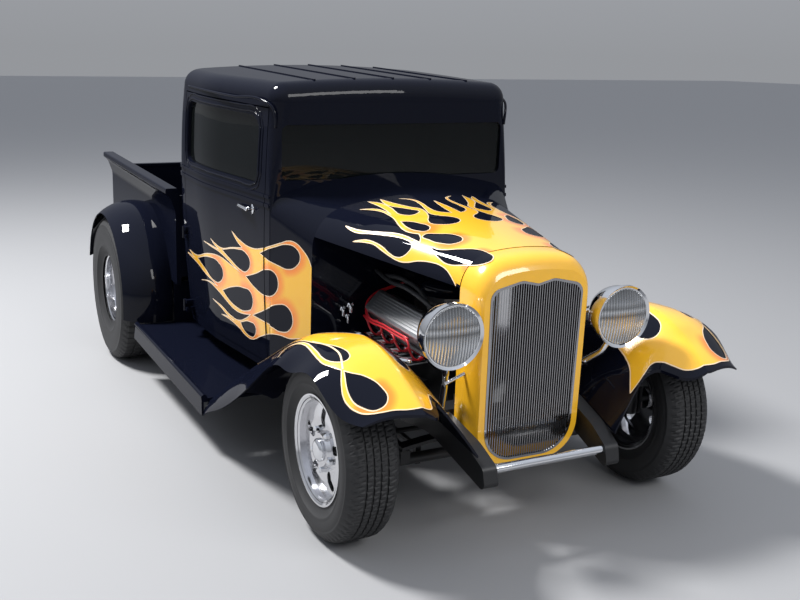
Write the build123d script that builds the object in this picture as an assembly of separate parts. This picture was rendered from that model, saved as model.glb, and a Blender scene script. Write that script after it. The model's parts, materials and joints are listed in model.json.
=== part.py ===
# Chopped pickup hot rod of the early 1930s style: fendered steel body, open-sided bonnet over a
# V8, dropped beam front axle, wide rear tyres and a short bed with wheel tubs.
# Every piece is drawn in the body's own level frame: x to the vehicle's left, y rearwards from the
# front axle, z up from the road under the front axle, in millimetres. The last step tips the whole
# car nose down by the rake, so that all four tyres stand on the road, and centres its length.
from build123d import *
from math import asin, cos, degrees, radians, sin
import os

# Stance and wheels
rake_deg = 2.3
wheelbase = 2686.0
front_tyre_radius = 342.0
front_tyre_width = 216.0
front_wheel_x = 697.0
rear_tyre_radius = 404.0
rear_tyre_width = 310.0
rear_wheel_x = 800.0
rim_radius = 207.0
front_rim_width = 174.0
rear_rim_width = 248.0
front_disc_x = 44.0
rear_disc_x = 46.0
spindle_radius = 18.0
running_clearance = 0.05
kingpin_x = 660.0
kingpin_radius = 14.0
steering_arm_length = 105.0
steering_arm_inset = 45.0
seat_gap = 0.3
moving_gap = 6.0

# Frame rails
rail_width = 60.0
rail_top = 325.0
rail_bottom = 175.0
kick_top = 480.0
kick_bottom = 400.0
front_rail_top = 440.0
front_rail_bottom = 352.0
horn_y = -380.0
spreader_y = -336.0
spreader_z = 320.0
spreader_radius = 17.0
drawbar_y = 3400.0
drawbar_z = 411.0
drawbar_spacing = 200.0
drawbar_hole_radius = 6.5
rail_end_y = 3450.0
rail_x_horn = 268.0
rail_x_front = 300.0
rail_x_cowl = 400.0
rail_x_cab = 470.0

# Grille shell, bonnet and cowl
shell_front_y = -190.0
shell_rear_y = -60.0
shell_sheet = 8.0
insert_half_width = 200.0
insert_top = 962.0
insert_bottom = 272.0
bar_pitch = 10.4
bar_width = 3.2
bar_depth = 14.0
hood_sheet = 4.0
hood_low_front = 925.0
hood_low_rear = 965.0
hood_root = 760.0
firewall_y = 752.0
cowl_rear_y = 985.0
cowl_sheet = 12.0

# Cab
tunnel_half_width = 165.0
tunnel_top = 575.0
tunnel_sheet = 14.0
shaft_tunnel_half_width = 62.0
shaft_tunnel_top = 452.0
cab_bottom = 295.0
belt_z = 1060.0
cab_top = 1500.0
roof_top = 1600.0
cab_wall = 38.0
glass_thickness = 6.0
screen_half_width = 550.0
screen_bottom = 1165.0
screen_top = 1405.0
door_front_y = 1040.0
door_rear_y = 1930.0
door_bottom = 330.0
door_top = 1470.0
window_front_y = 1112.0
window_rear_y = 1885.0
window_bottom = 1138.0
window_top = 1432.0
belt_beads = ((1056.0, 16.0), (1096.0, 14.0))
bead_height = 5.0
door_grip = (1150.0, 1020.0)
door_gap = 5.0
door_bevel = 0.28
door_hinge_x = 712.0
door_hinge_y = 1936.0
door_hinges = ((380.0, 56.0), (765.0, 24.0))
hinge_barrel_radius = 8.0
hinge_pin_radius = 4.5
floor_thickness = 15.0
roof_sheet = 20.0
roof_crown = 34.0
roof_edge_radius = 76.0
rib_pitch = 190.0
rib_width = 8.0
rib_height = 4.0

# Bed
bed_front_y = 2125.0
bed_rear_y = 3600.0
bed_half_width = 700.0
bed_side_thickness = 25.0
bed_side_bottom = 440.0
bed_rail_top = 957.0
bed_rail_depth = 28.0
bed_rail_half_width = 752.0
bed_floor_thickness = 18.0
tub_radius = 455.0
tub_sheet = 6.0
tub_inner_x = 594.0
tailgate_thickness = 24.0
tailgate_half_width = 640.0
tailgate_top = 877.0
tailgate_hinge = (3604.0, 470.0)
tailgate_hinge_places = (-400.0, 400.0)

# Fenders and running boards
fender_sheet = 7.0
fender_lip_radius = 432.0
rear_fender_radius = 492.0
rear_fender_sweep = 500.0
rear_fender_lip_x = 956.0
board_front_y = 998.3
board_rear_y = 2278.0
board_inner_x = 505.0
board_outer_x = 911.0
board_top = 214.0
board_thickness = 18.0
board_skirt = 62.0
board_rail_radius = 14.0

# Engine
engine_front_y = 185.0
engine_length = 500.0
crank_z = 385.0
gearbox_z = 410.0
tail_z = 388.0
bank_low = (160.0, 505.0)
bank_high = (254.0, 591.0)
deck_inner = (146.0, 705.0)
cover_width = 130.0
cover_height = 72.0
header_x = 325.0
header_z = 548.0
header_tube_radius = 18.0
exhaust_radius = 24.0
exhaust_z = 264.0
exhaust_end_y = 1985.0
muffler_radius = 44.0

# Lamps
lamp_x = 373.0
lamp_y = -230.0
lamp_z = 800.0
lamp_radius = 122.0


def to_body(y, z):
    """A point of the road's level frame, in the body's own frame."""
    a = radians(rake_deg)
    return y * cos(a) + z * sin(a), -y * sin(a) + z * cos(a)


front_y, front_z = to_body(0.0, front_tyre_radius)
rear_y, rear_z = to_body(wheelbase, rear_tyre_radius)


def block(x, y, z):
    """A box between two x, two y and two z values."""
    size = (x[1] - x[0], y[1] - y[0], z[1] - z[0])
    return Pos((x[0] + x[1]) / 2, (y[0] + y[1]) / 2, (z[0] + z[1]) / 2) * Box(*size)


def rod(start, end, radius):
    """A round bar from one point to another."""
    along = Vector(*end) - Vector(*start)
    bar = Cylinder(radius, along.length, align=(Align.CENTER, Align.CENTER, Align.MIN))
    return Plane(origin=start, z_dir=along) * bar


def pipe(points, radii, radius):
    """A round tube through points, with a bend radius at each inner point."""
    path = FilletPolyline(*points, radius=radii)
    start = Plane(origin=path @ 0, z_dir=path % 0)
    return sweep(start * Circle(radius), path=path)


def side_prism(points, radii, x):
    """An outline of (y, z) points, drawn out between two x values."""
    outline = FilletPolyline(*[(x[0], y, z) for y, z in points], radius=radii, close=True)
    return extrude(make_face(outline.edges()), amount=x[1] - x[0], dir=(1, 0, 0))


def plan_prism(points, radii, z):
    """An outline of (x, y) points, drawn out between two z values."""
    outline = FilletPolyline(*[(x, y, z[0]) for x, y in points], radius=radii, close=True)
    return extrude(make_face(outline.edges()), amount=z[1] - z[0], dir=(0, 0, 1))


def front_prism(points, radii, y):
    """An outline of (x, z) points, drawn out between two y values."""
    outline = FilletPolyline(*[(x, y[0], z) for x, z in points], radius=radii, close=True)
    return extrude(make_face(outline.edges()), amount=y[1] - y[0], dir=(0, 1, 0))


def mirrored(points):
    """Points (x, v) of a right-hand half, from bottom to top, closed by their mirror image."""
    return list(points) + [(-x, v) for x, v in reversed(points)]


def other_side(shape):
    """The mirror image on the vehicle's right."""
    return mirror(shape, about=Plane.YZ)


def both(shape):
    """A piece and its mirror image, as solids of one node."""
    return Compound(children=list(shape.solids()) + list(other_side(shape).solids()))


def together(*shapes):
    """Solids that don't touch, as one node."""
    return Compound(children=[solid for shape in shapes for solid in shape.solids()])


def one(shape):
    """A fused result as a plain solid."""
    solids = shape.solids()
    return solids[0] if len(solids) == 1 else Compound(children=list(solids))


# Frame

rail_centre = [
    (rail_x_horn, horn_y - 5), (rail_x_front, 0), (rail_x_cowl, 700), (rail_x_cab, 1120),
    (rail_x_cab, rail_end_y + 5)]
rail_bends = [0, 600, 900, 900, 0]


def rail_half():
    """The left side member: its side outline and its plan outline, crossed."""
    side = [
        (horn_y, 252), (-210, 300), (-20, front_rail_bottom), (300, 330), (660, rail_bottom),
        (2105, rail_bottom), (2410, kick_bottom), (3000, kick_bottom), (rail_end_y, 380),
        (rail_end_y, 440), (3000, kick_top), (2390, kick_top), (2130, rail_top), (704, rail_top),
        (380, front_rail_top), (-60, front_rail_top), (-250, 392), (horn_y + 22, 338),
    ]
    bends = [20, 200, 200, 300, 300, 300, 300, 200, 0, 0, 200, 250, 250, 300, 300, 250, 250, 30]
    half = rail_width / 2
    plan = [(x + half, y) for x, y in rail_centre] + [(x - half, y) for x, y in reversed(rail_centre)]
    wide = (rail_x_horn - rail_width, rail_x_cab + rail_width)
    return side_prism(side, bends, wide) & plan_prism(plan, rail_bends + rail_bends[::-1], (150, 550))


def frame():
    rails = rail_half()
    rails = rails + other_side(rails)
    # columns: y centre, half length in y, half width in x, z bottom, z top
    crossmembers = [
        (front_y, 42, 290, 372, front_rail_top),
        (1200, 40, 450, 180, 222),
        (2030, 35, 450, 180, 240),
        (rear_y + 105, 35, 450, 430, kick_top),
        (drawbar_y, 35, 450, 386, 436),
    ]
    body = rails
    for y, half_y, half_x, low, high in crossmembers:
        body = body + block((-half_x, half_x), (y - half_y, y + half_y), (low, high))
    bracket_top = board_top - board_thickness - seat_gap
    for y in (1180, 1880):
        bracket = block((rail_x_cab, board_outer_x - 40), (y - 25, y + 25), (bracket_top - 20, bracket_top))
        body = body + bracket + other_side(bracket)
    for x in (-drawbar_spacing / 2, drawbar_spacing / 2):
        body = body - road_level_rod((x, drawbar_y, drawbar_z), 60, drawbar_hole_radius)
    return one(body)


def road_level_rod(middle, half_length, radius):
    """A round bar about a point, lying along the car and level with the road."""
    x, y, z = middle
    a = radians(rake_deg)
    dy, dz = half_length * cos(a), half_length * sin(a)
    return rod((x, y - dy, z + dz), (x, y + dy, z - dz), radius)


# Front of the car

def spreader_bar():
    """The chromed tube between the frame horns."""
    share = (spreader_y - horn_y) / (0 - horn_y)
    inner = rail_x_horn + (rail_x_front - rail_x_horn) * share - rail_width / 2 - 1.5
    return rod((-inner, spreader_y, spreader_z), (inner, spreader_y, spreader_z), spreader_radius)


def shell_outline(half_foot, half, z_low, z_corner, z_top, corner, foot, y):
    """A body section at one y: leaning sides, rounded shoulders, a crowned top and a rounded foot."""
    crown = ThreePointArc((-half, z_corner), (0, z_top), (half, z_corner))
    sides = [Line((half, z_corner), (half_foot, z_low)), Line((-half_foot, z_low), (-half, z_corner))]
    face = make_face([crown, *sides, Line((half_foot, z_low), (-half_foot, z_low))])
    tops = [v for v in face.vertices() if v.Y > (z_low + z_corner) / 2]
    face = fillet(tops, radius=corner)
    if foot:
        face = fillet([v for v in face.vertices() if v.Y < z_low + 1], radius=foot)
    return Plane(origin=(0, y, 0), x_dir=(1, 0, 0), z_dir=(0, -1, 0)) * face


def insert_outline(grow, y):
    """The grille opening's outline, with the small dip in the middle of its top edge."""
    w, low, high = insert_half_width + grow, insert_bottom - grow, insert_top + grow
    half = [(w - 6, low), (w + 3, high - 24), (70, high + 6)]
    points = mirrored(half)
    points.insert(3, (0, high - 10))
    radii = [128 + grow, 46, 60, 14, 60, 46, 128 + grow]
    path = FilletPolyline(*[(x, y, z) for x, z in points], radius=radii, close=True)
    return make_face(path.edges())


# Grille shell sections. columns: y, half width at foot, half width at shoulder, foot z, shoulder z,
# peak z, shoulder radius, foot radius
shell_stations = [
    (shell_rear_y - seat_gap, 250, 255, 246, 1026, 1060, 136, 150),
    (-120, 249, 252, 243, 1021, 1056, 132, 150),
    (-165, 238, 243, 248, 1004, 1038, 122, 146),
    (shell_front_y, 222, 226, 256, 972, 1004, 108, 138),
]


def grille_shell():
    """The pressed shell round the grille, open at the back."""
    t = shell_sheet
    faces, hollow = [], []
    for y, foot_half, half, low, shoulder_z, peak, corner, foot in shell_stations:
        faces.append(shell_outline(foot_half, half, low, shoulder_z, peak, corner, foot, y))
        inner = (foot_half - t, half - t, low + t, shoulder_z - t, peak - t, corner - t, foot - t)
        hollow.append(shell_outline(*inner, y))
    body = loft(faces) - loft(hollow[:3])
    opening = extrude(insert_outline(0, shell_front_y - 20), amount=60, dir=(0, 1, 0))
    return one(body - opening)


def grille_insert():
    """The bright frame of the grille with its upright bars."""
    back = shell_front_y + bar_depth
    ring = extrude(insert_outline(-seat_gap, shell_front_y - 2), amount=bar_depth, dir=(0, 1, 0))
    hole = extrude(insert_outline(-9, shell_front_y - 10), amount=60, dir=(0, 1, 0))
    count = int(insert_half_width / bar_pitch)
    bars = None
    for i in range(-count, count + 1):
        x = i * bar_pitch
        bar = block((x - bar_width / 2, x + bar_width / 2), (shell_front_y + 1, back - 3), (200, 1000))
        bars = bar if bars is None else bars + bar
    inside = extrude(insert_outline(-5, shell_front_y - 2), amount=bar_depth, dir=(0, 1, 0))
    return one((ring - hole) + (bars & inside))


def radiator():
    low = front_rail_top + seat_gap
    core = block((-205, 205), (-48, 12), (low + 40, 950))
    tanks = block((-212, 212), (-52, 16), (low, low + 42)) + block((-212, 212), (-52, 16), (948, 990))
    filler = rod((0, -18, 988), (0, -18, 1012), 28)
    return one(core + tanks + filler)


# Bonnet and cowl stations. columns: y, half width, shoulder z, crown z, shoulder radius
body_stations = [
    (shell_rear_y, 255, 1026, 1060, 136),
    (firewall_y, 500, 1048, 1128, 180),
    (cowl_rear_y, 600, 1098, 1184, 110),
]


def hood_top():
    """The lift-off bonnet top: a crowned sheet, open at both sides."""
    t = hood_sheet
    outer, inner = [], []
    for y, half, zc, zt, r in body_stations[:2]:
        outer.append(shell_outline(half, half, hood_root, zc, zt, r, 0, y))
        inner.append(shell_outline(half - t, half - t, hood_root - 40, zc - t, zt - t, r - t, 0, y))
    front, rear = shell_rear_y + seat_gap, firewall_y - seat_gap
    keep = [(front, hood_low_front), (rear, hood_low_rear), (rear, 1300), (front, 1300)]
    return one((loft(outer) - loft(inner)) & side_prism(keep, [0] * 4, (-700, 700)))


def cowl():
    """The scuttle between bonnet and doors, with the firewall across its front."""
    stations = body_stations[1:]
    t = cowl_sheet
    outer, inner = [], []
    for y, half, zc, zt, r in stations:
        outer.append(shell_outline(half, half, cab_bottom, zc, zt, r, 0, y))
        inner.append(shell_outline(half - t, half - t, cab_bottom - 50, zc - t, zt - t, r - t, 0, y))
    hollow = loft(inner) - block((-700, 700), (firewall_y - 10, firewall_y + t), (0, 1400))
    body = loft(outer) - hollow
    body = body & block((-700, 700), (firewall_y, cowl_rear_y - seat_gap), (0, 1400))
    across = (-tunnel_half_width, tunnel_half_width)
    gearbox_hole = block(across, (firewall_y - 20, firewall_y + 60), (0, tunnel_top))
    rail_hole = block((-492, 492), (firewall_y - 20, cowl_rear_y), (0, rail_top + seat_gap))
    return one(body - gearbox_hole - rail_hole)


# Cab

def cab_outline(grow, z, half_front, half_rear, rear, front_corner, corner):
    """The cab's plan outline at one height, moved outwards by grow."""
    f, r, y1 = half_front + grow, half_rear + grow, rear + grow
    y0 = cowl_rear_y - grow
    front = max(front_corner + grow, 8)
    half = [(f, y0), (r, 1620), (r, y1)]
    points = [(x, y) for x, y in half] + [(-x, y) for x, y in reversed(half)]
    radii = [front, 1500, corner + grow, corner + grow, 1500, front]
    path = FilletPolyline(*[(x, y, z) for x, y in points], radius=radii, close=True)
    return make_face(path.edges())


# Cab stations. columns: z, half width at the windscreen, half width behind, rear wall y, corner
# radius at the windscreen, corner radius behind
cab_stations = [
    (cab_bottom, 575, 662, 2056, 12, 110),
    (700, 600, 694, 2088, 12, 125),
    (belt_z, 600, 702, 2106, 14, 130),
    (1290, 590, 698, 2102, 50, 130),
    (cab_top, 578, 684, 2092, 86, 130),
]


def cab_solid(grow):
    return loft([cab_outline(grow, *row) for row in cab_stations])


def door_block(side_gap, upright_gap):
    """The space of the left door, with a front edge bevelled so that it swings clear."""
    x0, x1 = 480.0, 800.0
    y0 = door_front_y - side_gap
    slant = door_bevel * (x1 - 600)
    slant_in = door_bevel * (600 - x0)
    y1 = door_rear_y + side_gap
    points = [(x1, y0 - slant), (x1, y1), (x0, y1), (x0, y0 + slant_in)]
    return plan_prism(points, [0, 0, 0, 0], (door_bottom - upright_gap, door_top + upright_gap))


def door_window(grow):
    """The door's window opening, as a prism across the door."""
    y0, y1 = window_front_y - grow, window_rear_y + grow
    z0, z1 = window_bottom - grow, window_top + grow
    corners = [40 + grow, 50 + grow, 50 + grow, 70 + grow]
    return side_prism([(y0, z0), (y1, z0), (y1, z1), (y0, z1)], corners, (450, 800))


def cab_wall_shell():
    """The cab's walls all round, with the two raised belt beads pressed into them."""
    beads = None
    for z, width in belt_beads:
        band = block((-900, 900), (cowl_rear_y + 8, 2300), (z - width / 2, z + width / 2))
        bead = cab_solid(bead_height) & band
        beads = bead if beads is None else beads + bead
    return (cab_solid(0) + beads) - cab_inside(cab_wall)


def cab_inside(wall):
    """The cab's inner space, open at the bottom and the top."""
    rows = list(cab_stations)
    inner = loft([cab_outline(-wall, *row) for row in rows])
    low, high = rows[0], rows[-1]
    foot = extrude(cab_outline(-wall, *low), amount=60, dir=(0, 0, -1))
    head = extrude(cab_outline(-wall, *high), amount=60, dir=(0, 0, 1))
    return inner + foot + head


def cab_shell(walls):
    door = door_block(door_gap, door_gap)
    screen = front_prism(
        mirrored([(screen_half_width, screen_bottom), (screen_half_width, screen_top)]),
        [30] * 4, (cowl_rear_y - 60, cowl_rear_y + 90))
    footwell = front_prism(
        mirrored([(540, cab_bottom - 60), (540, 1040)]), [60] * 4, (cowl_rear_y - 60, cowl_rear_y + 60))
    rear_window = front_prism(mirrored([(300, 1185), (300, 1370)]), [50] * 4, (1950, 2200))
    rail_notch = block((-506, 506), (1900, 2200), (200, rail_top + seat_gap))
    across = (-shaft_tunnel_half_width, shaft_tunnel_half_width)
    shaft_notch = block(across, (1900, 2200), (200, shaft_tunnel_top))
    shell = walls - door - other_side(door) - screen - footwell - rear_window - rail_notch - shaft_notch
    leaves = hinge_leaves(True)
    return one(shell + leaves + other_side(leaves))


def hinge_leaves(fixed):
    """One side of each left door hinge: the cab's leaves with their pins, or the door's leaves."""
    leaves = None
    for z, reach in door_hinges:
        x, y, r = door_hinge_x, door_hinge_y, hinge_barrel_radius
        if fixed:
            leaf = rod((x, y, z - 12), (x, y, z + 12), r)
            leaf = leaf + block((x - reach, x), (y + 2, y + 28), (z - 12, z + 12))
            leaf = leaf + rod((x, y, z - 30), (x, y, z + 30), hinge_pin_radius)
        else:
            leaf = None
            for low, high in ((-30, -12 - running_clearance), (12 + running_clearance, 30)):
                half = rod((x, y, z + low), (x, y, z + high), r)
                half = half + block((x - 6, x), (y - 30, y), (z + low, z + high))
                half = half + block((x - reach, x - 4), (y - 30, y - 8), (z + low, z + high))
                half = half - rod((x, y, z - 40), (x, y, z + 40), hinge_pin_radius + running_clearance)
                leaf = half if leaf is None else leaf + half
        leaves = leaf if leaves is None else leaves + leaf
    return leaves


def roof_block(inset, lift):
    """The roof's outer form moved inwards by inset and upwards by lift, with its rounded top edge."""
    row = cab_stations[-1]
    base = cab_outline(-inset, cab_top - 20, *row[1:])
    prism = extrude(base, amount=200, dir=(0, 0, 1))
    half, top = 720, roof_top + lift
    arc = ThreePointArc((-half, 800, top - roof_crown), (0, 800, top), (half, 800, top - roof_crown))
    side = Line((half, 800, top - roof_crown), (half, 800, 1400))
    sides = [side, Line((half, 800, 1400), (-half, 800, 1400))]
    closing = Line((-half, 800, 1400), (-half, 800, top - roof_crown))
    crown = extrude(make_face([arc, *sides, closing]), amount=1500, dir=(0, 1, 0))
    body = prism & crown
    top_face = body.faces().sort_by(Axis.Z)[-1]
    return fillet(top_face.edges(), radius=roof_edge_radius - inset)


def roof_panel():
    """The crowned roof with five raised seams along it."""
    outer = roof_block(0, 0)
    inner = roof_block(roof_sheet, -roof_sheet)
    foot = block((-900, 900), (800, 2300), (1300, cab_top + seat_gap))
    shell = outer - inner - foot
    half, y = 720, (cowl_rear_y + roof_edge_radius - 20, cab_stations[-1][3] - roof_edge_radius + 20)
    top = roof_top + rib_height
    arc = ThreePointArc((-half, y[0], top - roof_crown), (0, y[0], top), (half, y[0], top - roof_crown))
    low = roof_top - 60
    side = Line((half, y[0], top - roof_crown), (half, y[0], low))
    edges = [arc, side, Line((half, y[0], low), (-half, y[0], low))]
    cap = extrude(make_face([*edges, Line((-half, y[0], low), arc @ 0)]), amount=y[1] - y[0], dir=(0, 1, 0))
    for i in range(-2, 3):
        x = i * rib_pitch
        shell = shell + ((cap & block((x - rib_width / 2, x + rib_width / 2), y, (1400, 1700))) - inner)
    return one(shell)


def cab_glass():
    """Windscreen and rear window, each in its own opening."""
    y = cowl_rear_y + 14
    w, low, high = screen_half_width - seat_gap, screen_bottom + seat_gap, screen_top - seat_gap
    screen = front_prism(mirrored([(w, low), (w, high)]), [30] * 4, (y, y + glass_thickness))
    rw = 300 - seat_gap
    back = cab_stations[3][3] - cab_wall + 12
    rear = front_prism(
        mirrored([(rw, 1185 + seat_gap), (rw, 1370 - seat_gap)]), [50] * 4, (back, back + glass_thickness))
    return Compound(children=[*screen.solids(), *rear.solids()])


def cab_floor():
    """The floor with its tunnels over the gearbox and the driveshaft."""
    low = rail_top + seat_gap
    front = firewall_y + cowl_sheet + seat_gap
    rear = cab_stations[0][3] - cab_wall - seat_gap
    outline = cab_outline(-cab_wall - seat_gap, low, *cab_stations[0][1:])
    plate = extrude(outline, amount=floor_thickness, dir=(0, 0, 1))
    forward = block((-470, 470), (front, 1030), (low, low + floor_thickness))
    t, w, ws = tunnel_sheet, tunnel_half_width, shaft_tunnel_half_width
    body = plate + forward
    body = body + block((-w, w), (front, 1345), (low, tunnel_top - seat_gap))
    body = body + block((-ws, ws), (1340, rear - 1), (low, shaft_tunnel_top - seat_gap))
    body = body - block((-w + t, w - t), (700, 1345 - t), (0, tunnel_top - seat_gap - t))
    body = body - block((-ws + t, ws - t), (1300, 2200), (0, shaft_tunnel_top - seat_gap - t))
    return one(body)


def dashboard():
    """The instrument panel under the windscreen, with its round gauges."""
    half = 540
    wall = cowl_rear_y + cab_wall + seat_gap
    face = front_prism(mirrored([(half, 985), (half, 1122)]), [30] * 4, (1068, 1082))
    shelf = block((-half + 20, half - 20), (wall, 1070), (1100, 1114))
    body = face + shelf
    for x, r in ((-60, 38), (20, 38), (330, 52), (215, 40), (445, 40)):
        body = body + rod((x, 1080, 1053), (x, 1090, 1053), r)
    return one(body)


def steering_wheel():
    """Column and three-spoke wheel, carried by the firewall."""
    top = Vector(330, 1330, 985)
    foot = Vector(330, 740, 542)
    along = (top - foot).normalized()
    front = firewall_y + cowl_sheet + seat_gap
    column = rod(tuple(foot), tuple(top), 19) - block((0, 700), (600, front), (0, 1500))
    plane = Plane(origin=top, z_dir=along)
    body = column + plane * Torus(180, 13) + plane * Cylinder(34, 30)
    for i in range(3):
        body = body + plane * Rot(0, 0, 90 + 120 * i) * Pos(92, 0, 0) * Box(180, 26, 6)
    return one(body)


def bench_seat():
    """Seat base, cushion and back, as one plain closed form."""
    floor_z = rail_top + seat_gap + floor_thickness + seat_gap
    base = side_prism(
        [(1480, floor_z), (1960, floor_z), (2000, 980), (1880, 1010), (1800, 620), (1450, 640), (1440, 480)],
        [10, 10, 40, 40, 60, 50, 50], (-560, 560))
    ws = shaft_tunnel_half_width + 2
    return one(base - block((-ws, ws), (1400, 2100), (300, shaft_tunnel_top + seat_gap)))


def left_door(walls):
    """The door with its window opening, lever handle and hinge leaves."""
    panel = (walls & door_block(0, 0)) - door_window(0)
    y, z = door_grip
    skin = 612.0
    stem = rod((skin - 12, y, z), (skin + 46, y, z), 9)
    rose = rod((skin - 12, y, z), (skin + 14, y, z), 24)
    lever = rod((skin + 40, y - 8, z), (skin + 40, y + 98, z), 8)
    return one(panel + (stem + rose + lever - cab_inside(cab_wall - 10)) + hinge_leaves(False))


def door_glass():
    """The side glass, following the door, inside its window opening."""
    middle = cab_solid(-cab_wall / 2 + glass_thickness / 2) - cab_solid(-cab_wall / 2 - glass_thickness / 2)
    return one(middle & door_window(-seat_gap))


# Bed

def bed_side():
    """The left bed side with its flared top rail and the tub over the wheel."""
    x1 = bed_half_width
    x0 = x1 - bed_side_thickness
    rail_low = bed_rail_top - bed_rail_depth
    section = [
        (x0, bed_side_bottom), (x1, bed_side_bottom), (x1, 830), (x1 + 26, 905),
        (bed_rail_half_width, rail_low), (bed_rail_half_width, bed_rail_top), (x1 - 12, bed_rail_top),
        (x0, rail_low - 30),
    ]
    y = (bed_front_y + seat_gap, bed_rear_y)
    side = front_prism(section, [0, 0, 60, 60, 9, 9, 9, 60], y)
    arch = rod((tub_inner_x, rear_y, rear_z), (x1 + 60, rear_y, rear_z), tub_radius - tub_sheet)
    tub = rod((tub_inner_x, rear_y, rear_z), (x0 + 6, rear_y, rear_z), tub_radius)
    tub = tub - rod((tub_inner_x + tub_sheet, rear_y, rear_z), (x1, rear_y, rear_z), tub_radius - tub_sheet)
    tub = tub & block((0, 900), (2000, 3400), (bed_floor_low() + bed_floor_thickness + seat_gap, 1000))
    cut = arch - block((0, x0 - 0.01), (2000, 3500), (0, 1200))
    return one((side - cut) + tub)


def bed_floor_low():
    return kick_top + seat_gap


def bed_floor():
    """The bed's floor and its front panel."""
    low = bed_floor_low()
    w = bed_half_width - bed_side_thickness - seat_gap
    rear = bed_rear_y - tailgate_thickness - moving_gap
    plate = block((-w, w), (bed_front_y, rear), (low, low + bed_floor_thickness))
    front = block((-w, w), (bed_front_y, bed_front_y + 16), (low, bed_rail_top - 40))
    wheel = rod((tub_inner_x, rear_y, rear_z), (w + 10, rear_y, rear_z), tub_radius)
    return one(plate + front - wheel - other_side(wheel) + tailgate_brackets())


def tailgate():
    y = (bed_rear_y - tailgate_thickness, bed_rear_y)
    low = bed_floor_low() - 6
    w = tailgate_half_width
    panel = front_prism(mirrored([(w, low), (w, tailgate_top)]), [8] * 4, y)
    lip = block((-w, w), (y[0] - 4, y[1] + 6), (tailgate_top - 18, tailgate_top))
    dish = front_prism(mirrored([(560, low + 70), (560, tailgate_top - 70)]), [40] * 4, (y[1] - 8, y[1] + 8))
    gate = panel + lip - dish
    for x in tailgate_hinge_places:
        gate = gate - rod((x - 21, *tailgate_hinge), (x + 21, *tailgate_hinge), 16)
        for side in (-1, 1):
            ear = rod((x + side * 21, *tailgate_hinge), (x + side * 46, *tailgate_hinge), 11)
            ends = ((x + side * 10, *tailgate_hinge), (x + side * 60, *tailgate_hinge))
            gate = gate + ear - rod(*ends, 5 + running_clearance)
    return one(gate)


def tailgate_brackets():
    """The fixed half of the tailgate's hinges, on the bed floor's rear edge."""
    brackets = None
    y, z = tailgate_hinge
    for x in tailgate_hinge_places:
        arm = rod((x - 15, y, z), (x + 15, y, z), 10)
        arm = arm + block((x - 15, x + 15), (3530, y), (z - 10, z - 3))
        arm = arm + block((x - 15, x + 15), (3530, 3566), (z - 10, bed_floor_low() + 2))
        arm = arm + rod((x - 40, y, z), (x + 40, y, z), 5)
        brackets = arm if brackets is None else brackets + arm
    return brackets


def bed_posts():
    """The corner posts that the tailgate closes between, fused to the bed side."""
    x0 = tailgate_half_width + moving_gap
    x1 = bed_half_width - bed_side_thickness
    low = bed_floor_low() + bed_floor_thickness + 1
    return block((x0, x1 + 1), (bed_rear_y - 40, bed_rear_y), (low, bed_rail_top - bed_rail_depth - 40))


# Fenders and running boards

# Front fender stations, left side. columns: y, then x and z of the inner edge, of the apron's
# middle, of the shoulder, of the crown and of the outer lip
front_fender_stations = [
    (998, 606, 208, 660, 214, 720, 218, 862, 211, 906, 136),
    (860, 554, 300, 615, 319, 690, 324, 850, 300, 903, 205),
    (700, 484, 425, 570, 448, 680, 450, 832, 405, 898, 285),
    (500, 398, 400, 525, 530, 668, 584, 818, 520, 892, 412),
    (330, 372, 428, 500, 600, 656, 674, 806, 624, 887, 535),
    (130, 344, 428, 465, 632, 641, 742, 798, 716, 882, 640),
    (-60, 320, 425, 452, 638, 628, 776, 790, 740, 878, 676),
    (-200, 308, 398, 474, 632, 622, 758, 786, 730, 875, 676),
    (-330, 299, 372, 456, 568, 613, 704, 760, 676, 848, 604),
    (-415, 299, 362, 466, 548, 608, 660, 724, 642, 806, 596),
    (-470, 299, 352, 466, 530, 602, 628, 700, 614, 780, 580),
]

# The front fender's nose in plan, from the outer lip round to the frame horn. columns: x, y, corner radius
fender_nose = [(895, -230, 0), (878, -400, 150), (548, -486, 90), (478, -285, 60), (240, -345, 0)]


def fender_section(row, drop):
    """One fender section: a concave apron and a crowned top, with the sheet's under side."""
    y, xi, zi, xa, za, xs, zs, xc, zc, xo, zo = row
    t = drop
    inboard = ThreePointArc((xi, y, zi), (xa, y, za), (xs, y, zs))
    upper = [inboard, ThreePointArc((xs, y, zs), (xc, y, zc), (xo, y, zo))]
    ends = [Line((xo, y, zo), (xo - t, y, zo)), Line((xi + t, y, zi - 1), (xi, y, zi))]
    lower = [
        ThreePointArc((xo - t, y, zo), (xc - t * 0.5, y, zc - t), (xs, y, zs - t)),
        ThreePointArc((xs, y, zs - t), (xa + t * 0.7, y, za - t * 0.7), (xi + t, y, zi - 1)),
    ]
    return make_face([*upper, ends[0], *lower, ends[1]])


def front_fender():
    """The long front fender, trimmed where it seats on the frame rail and on the cowl."""
    fender = loft([fender_section(row, fender_sheet + 2) for row in front_fender_stations])
    half = rail_width / 2 + seat_gap
    band = [(x + half, y) for x, y in rail_centre[:-2]] + [(0, 700), (0, horn_y - 5)]
    low, high = body_stations[-2], body_stations[-1]
    side = [(low[1] + seat_gap, low[0]), (high[1] + seat_gap, high[0]), (0, high[0]), (0, low[0])]
    ahead = [(x, y) for x, y, _ in fender_nose] + [(240, -600), (1000, -600), (1000, -230)]
    corners = [r for _, _, r in fender_nose] + [0, 0, 0]
    fender = fender - plan_prism(band, [0, 600, 0, 0, 0], (100, 700))
    fender = fender - plan_prism(side, [0] * 4, (cab_bottom - 1, 900))
    fender = fender - plan_prism(ahead, corners, (200, 900))
    return fender.solids().sort_by(SortBy.VOLUME)[-1]


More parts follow.
